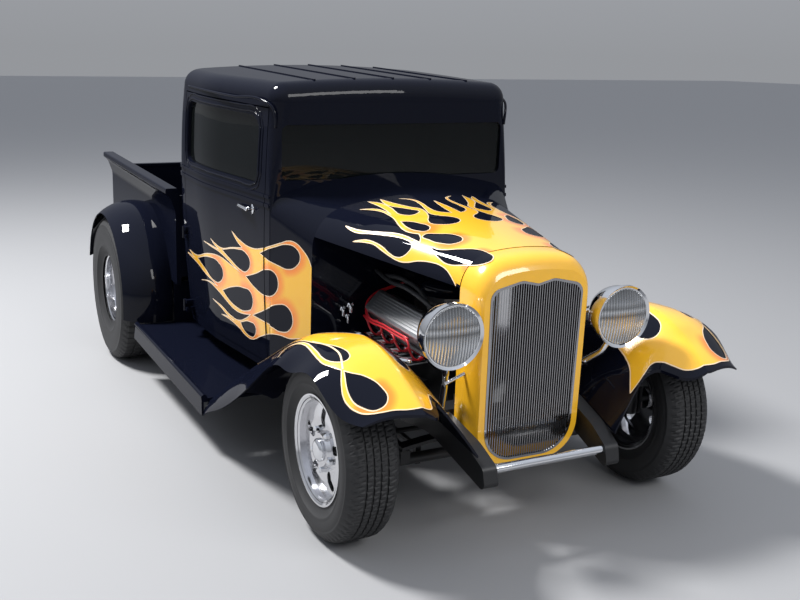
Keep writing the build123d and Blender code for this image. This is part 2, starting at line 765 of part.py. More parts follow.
def rear_fender():
    """The bobbed rear fender: one crowned section turned about the wheel's axle line."""
    start = 14.0
    end = 180 + degrees(asin((rear_z - board_top - seat_gap) / rear_fender_sweep))
    a = radians(start)

    def at(x, r):
        return (x, rear_y + r * cos(a), rear_z + r * sin(a))

    t = fender_sheet
    x_in = bed_half_width + seat_gap
    top = rear_fender_radius
    outer = ThreePointArc(at(x_in, top - 6), at(845, top), at(rear_fender_lip_x, fender_lip_radius))
    lip = at(rear_fender_lip_x - t, fender_lip_radius)
    inner = ThreePointArc(lip, at(842, top - t), at(x_in, top - 6 - t))
    edges = [outer, Line(outer @ 1, inner @ 0), inner, Line(inner @ 1, outer @ 0)]
    axle = Axis((0, rear_y, rear_z), (1, 0, 0))
    return one(revolve(make_face(edges), axis=axle, revolution_arc=end - start))


def running_board():
    low = board_top - board_thickness
    plate = block((board_inner_x, board_outer_x), (board_front_y, board_rear_y), (low, board_top))
    length = (board_front_y, board_rear_y)
    skirt = block((board_outer_x - 10, board_outer_x), length, (low - board_skirt, low + 1))
    x, z = board_outer_x - 12, board_top + 3
    rail = rod((x, board_front_y, z), (x, board_rear_y, z), board_rail_radius)
    fender = rod((400, rear_y, rear_z), (1000, rear_y, rear_z), rear_fender_sweep + seat_gap)
    return one(plate + skirt + rail - fender)


# Engine

def beside_rail(inner_gap):
    """The space from the left rail's inner face outwards, over the frame's whole height."""
    half = rail_width / 2 + inner_gap
    inner_face = [(x - half, y) for x, y in rail_centre[:3]]
    return plan_prism([*inner_face, (900, 700), (900, horn_y - 5)], [0, 600, 0, 0, 0], (100, 700))


def engine_block():
    """Crankcase, cylinder banks, clutch housing and gearbox as one block, on its two mounts."""
    y0, y1 = engine_front_y, engine_front_y + engine_length
    half = [
        (118, crank_z - 65), (140, crank_z + 30), bank_low, bank_high, deck_inner, (60, deck_inner[1] - 75)]
    bank = front_prism([(-x, z) for x, z in reversed(half)] + half, [0] * 12, (y0, y1))
    sump = block((-95, 95), (y0 + 60, y1 - 40), (crank_z - 130, crank_z - 60))
    bell = rod((0, y1 - 1, gearbox_z + 20), (0, firewall_y + 120, gearbox_z + 20), 118)
    gearbox = rod((0, firewall_y + 119, gearbox_z), (0, 1230, gearbox_z - 8), 78)
    tail = rod((0, 1220, tail_z), (0, 1300, tail_z), 36)
    mount = block((130, 360), (y0 + 160, y0 + 220), (crank_z - 5, crank_z + 35)) - beside_rail(seat_gap)
    return one(bank + sump + bell + gearbox + tail + mount + other_side(mount))


def engine_tops():
    """The finned covers on both banks, the manifold between them, and the carburettor's air cleaner."""
    deck_out, deck_in = Vector(bank_high[0], 0, bank_high[1]), Vector(deck_inner[0], 0, deck_inner[1])
    middle = (deck_out + deck_in) * 0.5
    across = (deck_in - deck_out).normalized()
    y0 = engine_front_y + 12
    plane = Plane(origin=(middle.X, y0, middle.Z), x_dir=across, z_dir=Vector(0, -1, 0))
    sign = 1 if plane.y_dir.Z > 0 else -1
    w, h = cover_width / 2, cover_height
    points = [(-w, sign * seat_gap), (w, sign * seat_gap), (w - 8, sign * h), (-w + 8, sign * h)]
    outline = FilletPolyline(*points, radius=[0, 0, 22, 22], close=True)
    cover = extrude(plane * make_face(outline.edges()), amount=engine_length - 24, dir=(0, 1, 0))
    for i in range(-3, 4):
        fin = Pos(i * 13, sign * (h + 2), 0) * Rectangle(4, 8)
        cover = cover + extrude(plane * fin, amount=engine_length - 60, dir=(0, 1, 0))
    y = engine_front_y + 250
    valley = deck_inner[1] - 75 + seat_gap
    manifold = block((-55, 55), (y - 150, y + 150), (valley, valley + 40))
    manifold = manifold + block((-84, 84), (y - 170, y + 170), (valley + 35, valley + 85))
    carburettor = block((-75, 75), (y - 75, y + 75), (valley + 84, valley + 140))
    cleaner = rod((0, y, valley + 139), (0, y, valley + 190), 140)
    cleaner = cleaner + rod((0, y, valley + 189), (0, y, valley + 198), 100)
    return Compound(children=[*both(cover).solids(), one(manifold + carburettor + cleaner)])


def accessory_drive():
    """Pulleys, water pump and generator on the engine's nose."""
    y1 = engine_front_y - seat_gap
    pump_z, generator_z = crank_z + 170, crank_z + 300
    pump = rod((0, y1, pump_z), (0, y1 - 50, pump_z), 62)
    pulley = rod((0, y1 - 50, pump_z), (0, y1 - 75, pump_z), 74)
    crank = rod((0, y1, crank_z), (0, y1 - 28, crank_z), 80)
    plate = block((-90, 90), (y1 - 14, y1), (crank_z, pump_z + 70))
    generator = rod((-205, y1, generator_z), (-205, y1 - 80, generator_z), 62)
    arm = block((-200, -60), (y1 - 14, y1), (pump_z + 30, pump_z + 70))
    arm = arm + block((-220, -170), (y1 - 14, y1), (pump_z + 50, generator_z))
    return one(pump + pulley + crank + plate + arm + generator)


def exhaust():
    """One side's header: four primaries into a log, then a pipe with its muffler under the cab."""
    low, high = Vector(bank_low[0], 0, bank_low[1]), Vector(bank_high[0], 0, bank_high[1])
    along = (high - low).normalized()
    out = Vector(along.Z, 0, -along.X)
    start, end = low + along * 28 + out * seat_gap, high - along * 22 + out * seat_gap
    flange_points = [(p.X, p.Z) for p in (start, end, end + out * 9, start + out * 9)]
    inside = (low + out * seat_gap, high + out * seat_gap, high - out * 90, low - out * 90)
    inside_points = [(p.X, p.Z) for p in inside]
    ports = [engine_front_y + 65 + i * (engine_length - 130) / 3 for i in range(4)]
    flange = front_prism(flange_points, [0] * 4, (ports[0] - 40, ports[-1] + 40))
    inside = front_prism(inside_points, [0] * 4, (ports[0] - 80, ports[-1] + 80))
    body = flange
    for y in ports:
        path = [(195, y, header_z), (header_x, y, header_z), (header_x, y + 70, header_z)]
        tube = pipe(path, [45], header_tube_radius)
        body = body + (tube - inside)
    drop_y = ports[-1] + 25
    route = [(header_x, ports[0] + 60, header_z), (header_x, drop_y, header_z),
             (header_x, drop_y + 45, exhaust_z), (header_x, exhaust_end_y, exhaust_z)]
    body = body + pipe(route, [80, 80], exhaust_radius)
    body = body + rod((header_x, 1290, exhaust_z), (header_x, 1720, exhaust_z), muffler_radius)
    end = exhaust_end_y
    bore = rod((header_x, end - 60, exhaust_z), (header_x, end + 1, exhaust_z), exhaust_radius - 3)
    return one(body - bore)


# Suspension and axles

def front_axle():
    """The dropped tube axle with its kingpin bosses and spring perches."""
    y, z = front_y, front_z
    drop = z - 96
    path = [
        (-kingpin_x + 26, y, z - 2), (-560, y, z - 10), (-470, y, drop),
        (470, y, drop), (560, y, z - 10), (kingpin_x - 26, y, z - 2)]
    beam = pipe(path, [60, 60, 60, 60], 22)
    for s in (1, -1):
        boss = rod((s * kingpin_x, y, z - 36), (s * kingpin_x, y, z + 36), 28)
        beam = beam + boss
        beam = beam + block(sorted((s * 405, s * 445)), (y - 24, y + 24), (drop - 10, drop + 44))
    for s in (1, -1):
        x = s * kingpin_x
        beam = beam - rod((x, y, z - 60), (x, y, z + 60), kingpin_radius + running_clearance)
    return one(beam)


def front_spring():
    """The transverse leaf spring, bowed up to the front crossmember."""
    y = (front_y - 25, front_y + 25)
    perch = front_z - 96 + 44 + seat_gap
    top = 372 - seat_gap
    leaves = None
    # columns: half length, thickness above the main leaf
    for half, low, high in ((440, 0, 14), (300, 13, 26), (190, 25, 38)):
        end, middle = perch + leaf_rise(half), perch + leaf_rise(0)
        a = ThreePointArc((-half, y[0], end + low), (0, y[0], middle + low), (half, y[0], end + low))
        b = ThreePointArc((half, y[0], end + high), (0, y[0], middle + high), (-half, y[0], end + high))
        outline = make_face([a, Line(a @ 1, b @ 0), b, Line(b @ 1, a @ 0)])
        leaf = extrude(outline, amount=y[1] - y[0], dir=(0, 1, 0))
        leaves = leaf if leaves is None else leaves + leaf
    clamp = block((-45, 45), (y[0] - 6, y[1] + 6), (perch + leaf_rise(0) - 8, top))
    return one(leaves + clamp)


def leaf_rise(x):
    """Height of the main leaf over its ends, at a distance x from the middle."""
    return 34.0 * (1 - (x / 440.0) ** 2)


def radius_rods():
    """The split front radius rods, from the axle back to the frame."""
    y, z = front_y, front_z - 96
    rear = (245, 1135, 201)
    upper = rod((345, y + 34, z + 26), rear, 11)
    lower = rod((345, y + 34, z - 30), rear, 11)
    yoke = block((334, 356), (y + 22 + seat_gap, y + 46), (z - 40, z + 38))
    eye = block((rear[0] - 16, rear[0] + 16), (rear[1] - 24, 1160 - seat_gap), (rear[2] - 16, rear[2] + 16))
    return both(one(upper + lower + yoke + eye))


def rear_axle():
    """Axle tubes, the differential housing, the brake plates and the forward arms."""
    y, z = rear_y, rear_z
    tube = rod((-660, y, z), (660, y, z), 38)
    housing = rod((0, y - 110, z), (0, y + 105, z), 118) & rod((-130, y, z), (130, y, z), 135)
    nose = rod((0, y - 170, z), (0, y - 100, z), 52)
    body = tube + housing + nose
    for s in (1, -1):
        body = body + rod((s * 655, y, z), (s * 672, y, z), 135)
        body = body + rod((s * 660, y, z), (s * (rear_wheel_x + rear_disc_x + 6), y, z), spindle_radius)
        body = body + rod((s * 330, y - 30, z), (s * 330, 2069, 215), 20)
        body = body + block(sorted((s * 360, s * 400)), (y + 20, y + 92), (z - 30, z + 10))
    return one(body)


def rear_springs():
    """The coil-over dampers behind the axle."""
    low = rear_z + 10 + seat_gap
    high = 430 - seat_gap
    y = rear_y + 80
    body = rod((380, y, low), (380, y, high), 14)
    for i in range(6):
        z = low + 20 + i * (high - low - 40) / 5
        body = body + Pos(380, y, z) * Torus(29, 10)
    body = body + rod((380, y, low + 2), (380, y, low + 12), 40)
    body = body + rod((380, y, high - 12), (380, y, high - 2), 40)
    return both(one(body))


def driveshaft():
    shaft = rod((0, 1270, tail_z), (0, rear_y - 140, rear_z), 30)
    return one(shaft & block((-40, 40), (1300 + seat_gap, rear_y - 170 - seat_gap), (200, 600)))


def fuel_tank():
    tank = side_prism([(2960, 300), (3330, 300), (3350, 420), (2950, 420)], [30] * 4, (-360, 360))
    strap = block((-300, -260), (2955, 3364.7), (420, 479)) + block((260, 300), (2955, 3364.7), (420, 479))
    return one(tank + strap)


# Lamps

def headlamps():
    """Bowl-shaped lamp bodies with their rims, each on a stand from the frame."""
    r = lamp_radius
    rim = Polyline((0, 0), (r - 8, 0), (r, -6), (r, 14), (r - 8, 24))
    bowl = ThreePointArc((r - 8, 24), (78, 114), (15, 148))
    face = make_face([*rim.edges(), bowl, Line((15, 148), (0, 148)), Line((0, 148), (0, 0))])
    solid = revolve(face, axis=Axis.Y, revolution_arc=360)
    dish = rod((0, -20, 0), (0, 8, 0), lamp_radius - 12)
    bucket = Pos(lamp_x, lamp_y, lamp_z) * (solid - dish)
    foot = (rail_x_front - 2, -40, front_rail_top + 5)
    stand = pipe([foot, (foot[0], -60, 560), (350, -150, 640), (lamp_x, lamp_y + 50, 720)], [60, 60], 13)
    base = block((foot[0] - 16, foot[0] + 18), (-75, -5), (front_rail_top + seat_gap, front_rail_top + 9))
    low_stay = rod((240, -121, 619), (322, -98, 574), 6)
    high_stay = rod((240, -110, lamp_z + 2), (lamp_x - 40, lamp_y + 92, lamp_z + 6), 9)
    shell_side = shell_stations[1][2] + seat_gap
    stays = (low_stay + high_stay) - block((0, shell_side), (-200, 0), (300, 1000))
    return both(one(bucket + stand + base + stays))


def headlamp_lenses():
    lens = rod((lamp_x, lamp_y + 0.5, lamp_z), (lamp_x, lamp_y + 7.5, lamp_z), lamp_radius - 12 - seat_gap)
    return both(one(lens))


def tail_lamps():
    """Round lamps on short arms from the frame's rear end."""
    y = rail_end_y + seat_gap
    arm = pipe([(rail_x_cab, y, 410), (rail_x_cab, y + 60, 410), (560, y + 120, 410)], [40], 9)
    lamp = rod((560, y + 80, 410), (560, y + 130, 410), 42)
    return both(one(arm + lamp))


# Wheels, hubs and steering

def wheel_rim(width, dish_x):
    """A dished wheel about the x axis with its outer face to +x: barrel, disc, windows and cap."""
    w = width / 2
    well = rim_radius - 36
    outer = [
        (-w, rim_radius), (-w + 6, rim_radius), (-w + 6, 190), (-34, 190), (-24, well),
        (24, well), (34, 190), (w - 6, 190), (w - 6, rim_radius), (w, rim_radius)]
    inner = [
        (w, rim_radius - 7), (w - 12, 183), (36, 183), (26, well - 7),
        (-26, well - 7), (-36, 183), (-w + 12, 183), (-w, rim_radius - 7)]
    barrel = revolve(make_face(Polyline(*outer, *inner, close=True).edges()), axis=Axis.X, revolution_arc=360)
    disc_profile = [
        (dish_x - 8, 0), (dish_x - 8, rim_radius - 21), (dish_x + 6, rim_radius - 21), (dish_x + 16, 120),
        (dish_x + 10, 70), (dish_x + 26, 62), (dish_x + 26, 0)]
    disc = revolve(make_face(Polyline(*disc_profile, close=True).edges()), axis=Axis.X, revolution_arc=360)
    for i in range(5):
        slot = extrude(SlotCenterToCenter(40, 34), amount=40, both=True)
        window = Pos(dish_x, 0, 0) * Rot(72 * i, 0, 0) * Pos(0, 0, 122) * Rot(0, 90, 0) * slot
        disc = disc - window
    return one(barrel + disc)


def tyre(radius, width, rim_width):
    """A tyre about the x axis with a flat tread, round shoulders and full side walls."""
    w, r0 = width / 2, rim_radius
    bead = rim_width / 2 - 6 - seat_gap
    section = [
        (-bead, 190 + seat_gap), (-bead, r0 + 2), (-w + 14, r0 + 24), (-w, (radius + r0) / 2 + 4),
        (-w + 16, radius - 22), (-w + 44, radius - 1), (w - 44, radius - 1), (w - 16, radius - 22),
        (w, (radius + r0) / 2 + 4), (w - 14, r0 + 24), (bead, r0 + 2), (bead, 190 + seat_gap),
    ]
    edges = FilletPolyline(*section, radius=[0, 6, 25, 40, 30, 30, 30, 30, 40, 25, 6, 0], close=True)
    return edges


def knuckle(s):
    """Stub axle, kingpin yoke, brake plate and steering arm. s is 1 on the left, -1 on the right."""
    y, z = front_y, front_z
    ears = None
    for up in (1, -1):
        e = rod((kingpin_x, y, z + up * (36 + seat_gap)), (kingpin_x, y, z + up * 58), 26)
        ears = e if ears is None else ears + e
    out = kingpin_x + 41
    bridge = block((kingpin_x + 29, out), (y - 20, y + 20), (z - 58, z + 58))
    bridge = bridge + block((kingpin_x, out), (y - 16, y + 16), (z + 38, z + 58))
    bridge = bridge + block((kingpin_x, out), (y - 16, y + 16), (z - 58, z - 38))
    pin = rod((kingpin_x, y, z - 58), (kingpin_x, y, z + 58), kingpin_radius)
    spindle = rod((kingpin_x + 30, y, z), (front_wheel_x + front_disc_x + 6, y, z), spindle_radius)
    tip = (kingpin_x - steering_arm_inset, y + steering_arm_length, z - 48)
    arm = rod((kingpin_x, y + 10, z - 48), tip, 9)
    arm = arm + rod((tip[0], tip[1], z - 58), (tip[0], tip[1], z - 36), 13)
    body = one(ears + bridge + pin + spindle + arm)
    return body if s > 0 else one(other_side(body))


def tie_rod():
    y = front_y + steering_arm_length
    z = front_z - 48 + 12 + 13 + seat_gap
    x = kingpin_x - steering_arm_inset
    bar = rod((-x, y, z), (x, y, z), 10)
    for s in (1, -1):
        bar = bar + rod((s * x, y, z - 13), (s * x, y, z + 13), 12)
    return one(bar)


def build():
    """All the nodes of the car, by name, in the body's own frame."""
    walls = cab_wall_shell()
    nodes = {}
    nodes["frame"] = frame()
    nodes["spreader_bar"] = spreader_bar()
    nodes["grille_shell"] = grille_shell()
    nodes["grille_insert"] = grille_insert()
    nodes["radiator"] = radiator()
    nodes["hood_top"] = hood_top()
    nodes["cowl"] = cowl()
    nodes["cab_shell"] = cab_shell(walls)
    nodes["roof_panel"] = roof_panel()
    nodes["cab_glass"] = cab_glass()
    nodes["cab_floor"] = cab_floor()
    nodes["dashboard"] = dashboard()
    nodes["steering_wheel"] = steering_wheel()
    nodes["bench_seat"] = bench_seat()
    left = left_door(walls)
    nodes["door_left"] = left
    nodes["door_right"] = one(other_side(left))
    glass = door_glass()
    nodes["door_glass_left"] = glass
    nodes["door_glass_right"] = one(other_side(glass))
    nodes["bed_floor"] = bed_floor()
    nodes["bed_sides"] = both(one(bed_side() + bed_posts()))
    nodes["tailgate"] = tailgate()
    nodes["front_fenders"] = both(front_fender())
    nodes["rear_fenders"] = both(rear_fender())
    nodes["running_boards"] = both(running_board())
    nodes["engine_block"] = engine_block()
    nodes["engine_tops"] = engine_tops()
    nodes["accessory_drive"] = accessory_drive()
    nodes["exhaust"] = both(exhaust())
    nodes["front_axle"] = together(front_axle(), front_spring(), radius_rods())
    nodes["rear_axle"] = together(rear_axle(), rear_springs(), driveshaft())
    nodes["fuel_tank"] = fuel_tank()
    nodes["headlamps"] = headlamps()
    nodes["headlamp_lenses"] = headlamp_lenses()
    nodes["tail_lamps"] = tail_lamps()
    nodes["knuckle_left"] = knuckle(1)
    nodes["knuckle_right"] = knuckle(-1)
    nodes["tie_rod"] = tie_rod()
    # columns: name, x, y, z of the wheel's centre, tyre radius, tyre width, rim width, disc place
    corners = [
        ("front", front_wheel_x, front_y, front_z,
         front_tyre_radius, front_tyre_width, front_rim_width, front_disc_x),
        ("rear", rear_wheel_x, rear_y, rear_z,
         rear_tyre_radius, rear_tyre_width, rear_rim_width, rear_disc_x),
    ]
    for name, x, y, z, radius, width, rim_width, dish in corners:
        bore = rod((-300, 0, 0), (dish + 12, 0, 0), spindle_radius + running_clearance)
        hub = rod((dish - 20, 0, 0), (dish + 1, 0, 0), 46)
        rim = one(wheel_rim(rim_width, dish) + hub - bore)
        rim = Pos(x, y, z) * rim
        outline = tyre(radius, width, rim_width)
        rubber = Pos(x, y, z) * revolve(make_face(outline.edges()), axis=Axis.X, revolution_arc=360)
        nodes[f"wheel_{name}_left"] = rim
        nodes[f"wheel_{name}_right"] = one(other_side(rim))
        nodes[f"tyre_{name}_left"] = one(rubber)
        nodes[f"tyre_{name}_right"] = one(other_side(rubber))
    return nodes


def place(nodes):
    """Tips the car nose down by the rake and puts the middle of its length over the origin."""
    tipped = {name: Rot(rake_deg, 0, 0) * shape for name, shape in nodes.items()}
    low = min(shape.bounding_box().min.Y for shape in tipped.values())
    high = max(shape.bounding_box().max.Y for shape in tipped.values())
    return {name: Pos(0, -(low + high) / 2, 0) * shape for name, shape in tipped.items()}, -(low + high) / 2


placed, shift = place(build())
os.makedirs("parts", exist_ok=True)
for name, shape in placed.items():
    export_step(shape, f"parts/{name}.step")
print("length shift", round(shift, 3))
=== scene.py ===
"""Looks of a flamed hot rod pickup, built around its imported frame.

Lengths are in metres in the frame's own space: the front faces -Y, up is +Z, +X is the car's left.
"""

import json
import math

import bmesh
import bpy
from bpy.props import FloatProperty, FloatVectorProperty, PointerProperty
from mathutils import Matrix, Vector
from mathutils.bvhtree import BVHTree
from mathutils.kdtree import KDTree


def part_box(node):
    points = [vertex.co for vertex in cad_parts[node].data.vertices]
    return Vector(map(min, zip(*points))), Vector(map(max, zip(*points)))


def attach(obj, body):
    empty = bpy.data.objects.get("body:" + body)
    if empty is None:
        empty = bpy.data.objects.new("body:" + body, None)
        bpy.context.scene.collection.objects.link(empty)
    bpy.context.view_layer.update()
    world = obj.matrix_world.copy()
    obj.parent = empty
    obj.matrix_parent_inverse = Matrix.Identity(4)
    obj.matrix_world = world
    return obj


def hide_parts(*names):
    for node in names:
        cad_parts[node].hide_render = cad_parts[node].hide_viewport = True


bl_info = {
    "name": "Hot Rod Pickup Finish",
    "version": (1, 0, 0),
    "blender": (4, 5, 0),
    "location": "3D View > Sidebar > Hot Rod",
    "description": "Paint, flames, trim, tyres, wheels and engine dress for a hot rod pickup",
    "category": "Object",
}

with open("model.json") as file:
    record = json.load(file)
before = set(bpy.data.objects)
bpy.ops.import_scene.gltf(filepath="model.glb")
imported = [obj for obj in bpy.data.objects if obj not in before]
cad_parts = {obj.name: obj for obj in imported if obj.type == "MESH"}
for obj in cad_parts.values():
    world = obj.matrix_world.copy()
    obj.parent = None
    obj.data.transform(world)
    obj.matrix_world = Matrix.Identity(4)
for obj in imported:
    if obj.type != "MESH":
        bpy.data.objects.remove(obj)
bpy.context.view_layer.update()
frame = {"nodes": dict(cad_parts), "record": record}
nodes = frame["nodes"]

RAKE = math.radians(2.3)


def body_origin():
    """The point under the front axle, from the front wheels' place."""
    low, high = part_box("tyre_front_left")
    return Vector((0, (low[1] + high[1]) / 2, 0))


ORIGIN = body_origin()


def place(x, y, z):
    """A point of the level body drawing, in millimetres, as a point of the frame in metres."""
    c, s = math.cos(RAKE), math.sin(RAKE)
    return Vector((x / 1000, ORIGIN.y + (y * c - z * s) / 1000, (y * s + z * c) / 1000))


# Property groups

class HotRodStance(bpy.types.PropertyGroup):
    camera_height: FloatProperty(
        name="Camera Height", description="Height of the lens over the floor",
        default=1.757, unit="LENGTH")
    camera_yaw: FloatProperty(
        name="Camera Yaw", description="Turn of the view from straight back",
        default=0.4784, subtype="ANGLE")
    camera_pitch: FloatProperty(
        name="Camera Pitch", description="Downward tilt of the view",
        default=0.22863, subtype="ANGLE")
    camera_roll: FloatProperty(
        name="Camera Roll", description="Turn of the view about its own line",
        default=0.01978, subtype="ANGLE")
    focal_length: FloatProperty(
        name="Focal Length", description="Lens length for a 36 mm wide sensor",
        default=48.02, unit="CAMERA")


class HotRodPaint(bpy.types.PropertyGroup):
    black: FloatVectorProperty(
        name="Body Black", description="Main body paint",
        size=3, subtype="COLOR", default=(0.004, 0.005, 0.011))
    yellow: FloatVectorProperty(
        name="Flame Yellow", description="Middle of the flames",
        size=3, subtype="COLOR", default=(0.95, 0.50, 0.022))
    orange: FloatVectorProperty(
        name="Flame Orange", description="Edge of the flames",
        size=3, subtype="COLOR", default=(0.92, 0.24, 0.01))
    stripe: FloatVectorProperty(
        name="Stripe", description="Outline stripe",
        size=3, subtype="COLOR", default=(0.93, 0.69, 0.44))
    stripe_width: FloatProperty(
        name="Stripe Width", description="Width of the outline stripe",
        default=0.0039, unit="LENGTH")


# Headlamp centre of the body drawing and the radius of its glass, in millimetres.
# The glass's section, columns: way back from the centre, and share of that radius
lamp_x, lamp_y, lamp_z = 373.0, -230.0, 800.0
lamp_glass_radius = 109.5
lens_section = [(7, 0), (7, 1, 1), (0, 1, 1), (-7, 0.72), (-12, 0.36), (-13, 0)]


# Materials

def new_material(name):
    """A node material with a Principled shader; gives the material, its tree and the shader."""
    material = bpy.data.materials.new(name)
    material.use_nodes = True
    tree = material.node_tree
    return material, tree, tree.nodes["Principled BSDF"]


def grain_group():
    """A shader group: fine grain as a height and as a colour variation, in object space."""
    group = bpy.data.node_groups.new("FineGrain", "ShaderNodeTree")
    face = group.interface
    face.new_socket("Color", in_out="INPUT", socket_type="NodeSocketColor")
    scale = face.new_socket("Scale", in_out="INPUT", socket_type="NodeSocketFloat")
    scale.default_value = 400.0
    amount = face.new_socket("Variation", in_out="INPUT", socket_type="NodeSocketFloat")
    amount.default_value = 0.1
    face.new_socket("Color", in_out="OUTPUT", socket_type="NodeSocketColor")
    face.new_socket("Height", in_out="OUTPUT", socket_type="NodeSocketFloat")
    start = group.nodes.new("NodeGroupInput")
    end = group.nodes.new("NodeGroupOutput")
    coord = group.nodes.new("ShaderNodeTexCoord")
    noise = group.nodes.new("ShaderNodeTexNoise")
    noise.inputs["Detail"].default_value = 5.0
    dark = group.nodes.new("ShaderNodeMix")
    dark.data_type = "RGBA"
    dark.blend_type = "MULTIPLY"
    spread = group.nodes.new("ShaderNodeMapRange")
    spread.inputs["To Min"].default_value = 0.35
    spread.inputs["To Max"].default_value = 1.25
    links = group.links
    links.new(coord.outputs["Object"], noise.inputs["Vector"])
    links.new(start.outputs["Scale"], noise.inputs["Scale"])
    links.new(noise.outputs["Fac"], spread.inputs["Value"])
    links.new(start.outputs["Variation"], dark.inputs["Factor"])
    links.new(start.outputs["Color"], dark.inputs["A"])
    links.new(spread.outputs["Result"], dark.inputs["B"])
    links.new(dark.outputs["Result"], end.inputs["Color"])
    links.new(noise.outputs["Fac"], end.inputs["Height"])
    return group


def add_grain(tree, shader, group, color, scale, variation, bump, distance=0.0004):
    """Places the grain group before a shader's colour and normal."""
    grain = tree.nodes.new("ShaderNodeGroup")
    grain.node_tree = group
    grain.inputs["Color"].default_value = (*color, 1.0)
    grain.inputs["Scale"].default_value = scale
    grain.inputs["Variation"].default_value = variation
    tree.links.new(grain.outputs["Color"], shader.inputs["Base Color"])
    if bump > 0:
        relief = tree.nodes.new("ShaderNodeBump")
        relief.inputs["Strength"].default_value = bump
        relief.inputs["Distance"].default_value = distance
        tree.links.new(grain.outputs["Height"], relief.inputs["Height"])
        tree.links.new(relief.outputs["Normal"], shader.inputs["Normal"])
    return grain


def plain_finish(name, color, metallic, roughness, grain, scale, variation, bump=0.0, coat=0.0, shine=0.5):
    """A finish of one colour with fine variation; shine is the bare surface's own reflection."""
    material, tree, shader = new_material(name)
    shader.inputs["Metallic"].default_value = metallic
    shader.inputs["Roughness"].default_value = roughness
    shader.inputs["Specular IOR Level"].default_value = shine
    if coat:
        shader.inputs["Coat Weight"].default_value = coat
        shader.inputs["Coat Roughness"].default_value = 0.02
    add_grain(tree, shader, grain, color, scale, variation, bump)
    return material


def glass_finish(name, color, alpha):
    """Smooth see-through glass; the higher alpha, the darker what stands behind it."""
    material, _, shader = new_material(name)
    shader.inputs["Base Color"].default_value = (*color, 1.0)
    shader.inputs["Roughness"].default_value = 0.03
    shader.inputs["Alpha"].default_value = alpha
    shader.inputs["Specular IOR Level"].default_value = 0.3
    material.surface_render_method = "BLENDED"
    return material


# Painted reflection: bands of brightness by height, standing in for the lit reflector behind the glass;
# columns: share of the height from the foot, and brightness
lens_painted_reflection = [
    (0.0, 0.62), (0.3, 0.8), (0.46, 0.5), (0.52, 0.2), (0.6, 0.75), (0.66, 0.3), (0.74, 0.7), (1.0, 0.25),
]


def lens_finish(name):
    """Silvered glass with upright flutes that darken the colour in stripes as painted shade, and a painted
    reflection: a bright lower half under a darker upper one.
    """
    lens_height = place(lamp_x, lamp_y, lamp_z).z
    material, tree, shader = new_material(name)
    shader.inputs["Metallic"].default_value = 0.8
    shader.inputs["Roughness"].default_value = 0.14
    shader.inputs["Coat Weight"].default_value = 1.0
    coord = tree.nodes.new("ShaderNodeTexCoord")
    split = tree.nodes.new("ShaderNodeSeparateXYZ")
    height = tree.nodes.new("ShaderNodeMapRange")
    height.inputs["From Min"].default_value = lens_height - lamp_glass_radius / 1000
    height.inputs["From Max"].default_value = lens_height + lamp_glass_radius / 1000
    # Painted reflection: the colour is brighter in the lower half and banded by height
    bands = tree.nodes.new("ShaderNodeValToRGB")
    while len(bands.color_ramp.elements) < len(lens_painted_reflection):
        bands.color_ramp.elements.new(0.5)
    for stop, (at, shade) in zip(bands.color_ramp.elements, lens_painted_reflection):
        stop.position = at
        stop.color = (shade * 0.94, shade * 0.97, shade, 1.0)
    flutes = tree.nodes.new("ShaderNodeTexWave")
    flutes.bands_direction = "X"
    flutes.inputs["Scale"].default_value = 26.0
    # Painted shade: the flutes darken the colour in stripes
    darken = tree.nodes.new("ShaderNodeMix")
    darken.data_type = "RGBA"
    darken.blend_type = "MULTIPLY"
    darken.inputs["Factor"].default_value = 0.45
    relief = tree.nodes.new("ShaderNodeBump")
    relief.inputs["Strength"].default_value = 0.9
    relief.inputs["Distance"].default_value = 0.004
    tree.links.new(coord.outputs["Object"], flutes.inputs["Vector"])
    tree.links.new(coord.outputs["Object"], split.inputs["Vector"])
    tree.links.new(split.outputs["Z"], height.inputs["Value"])
    tree.links.new(height.outputs["Result"], bands.inputs["Fac"])
    tree.links.new(bands.outputs["Color"], darken.inputs["A"])
    tree.links.new(flutes.outputs["Fac"], darken.inputs["B"])
    tree.links.new(darken.outputs["Result"], shader.inputs["Base Color"])
    tree.links.new(flutes.outputs["Fac"], relief.inputs["Height"])
    tree.links.new(relief.outputs["Normal"], shader.inputs["Normal"])
    return material


def flame_finish(name, paint):
    """Flame paint: yellow, shading to orange round the blunt ends of the teardrops and a little by chance."""
    material, tree, shader = new_material(name)
    rim = tree.nodes.new("ShaderNodeAttribute")
    rim.attribute_name = "rim"
    spread = tree.nodes.new("ShaderNodeMapRange")
    spread.interpolation_type = "SMOOTHSTEP"
    spread.inputs["From Min"].default_value = 0.006
    spread.inputs["From Max"].default_value = 0.055
    coord = tree.nodes.new("ShaderNodeTexCoord")
    noise = tree.nodes.new("ShaderNodeTexNoise")
    noise.inputs["Scale"].default_value = 4.0
    ease = tree.nodes.new("ShaderNodeMath")
    ease.operation = "MULTIPLY"
    mix = tree.nodes.new("ShaderNodeMix")
    mix.data_type = "RGBA"
    mix.inputs["A"].default_value = (*paint.orange, 1.0)
    mix.inputs["B"].default_value = (*paint.yellow, 1.0)
    tree.links.new(rim.outputs["Fac"], spread.inputs["Value"])
    tree.links.new(coord.outputs["Object"], noise.inputs["Vector"])
    tree.links.new(spread.outputs["Result"], ease.inputs[0])
    tree.links.new(noise.outputs["Fac"], ease.inputs[1])
    lift = tree.nodes.new("ShaderNodeMapRange")
    lift.inputs["From Max"].default_value = 0.45
    tree.links.new(ease.outputs["Value"], lift.inputs["Value"])
    tree.links.new(lift.outputs["Result"], mix.inputs["Factor"])
    tree.links.new(mix.outputs["Result"], shader.inputs["Base Color"])
    shader.inputs["Roughness"].default_value = 0.25
    shader.inputs["Coat Weight"].default_value = 1.0
    shader.inputs["Coat Roughness"].default_value = 0.02
    return material


finishes = {}


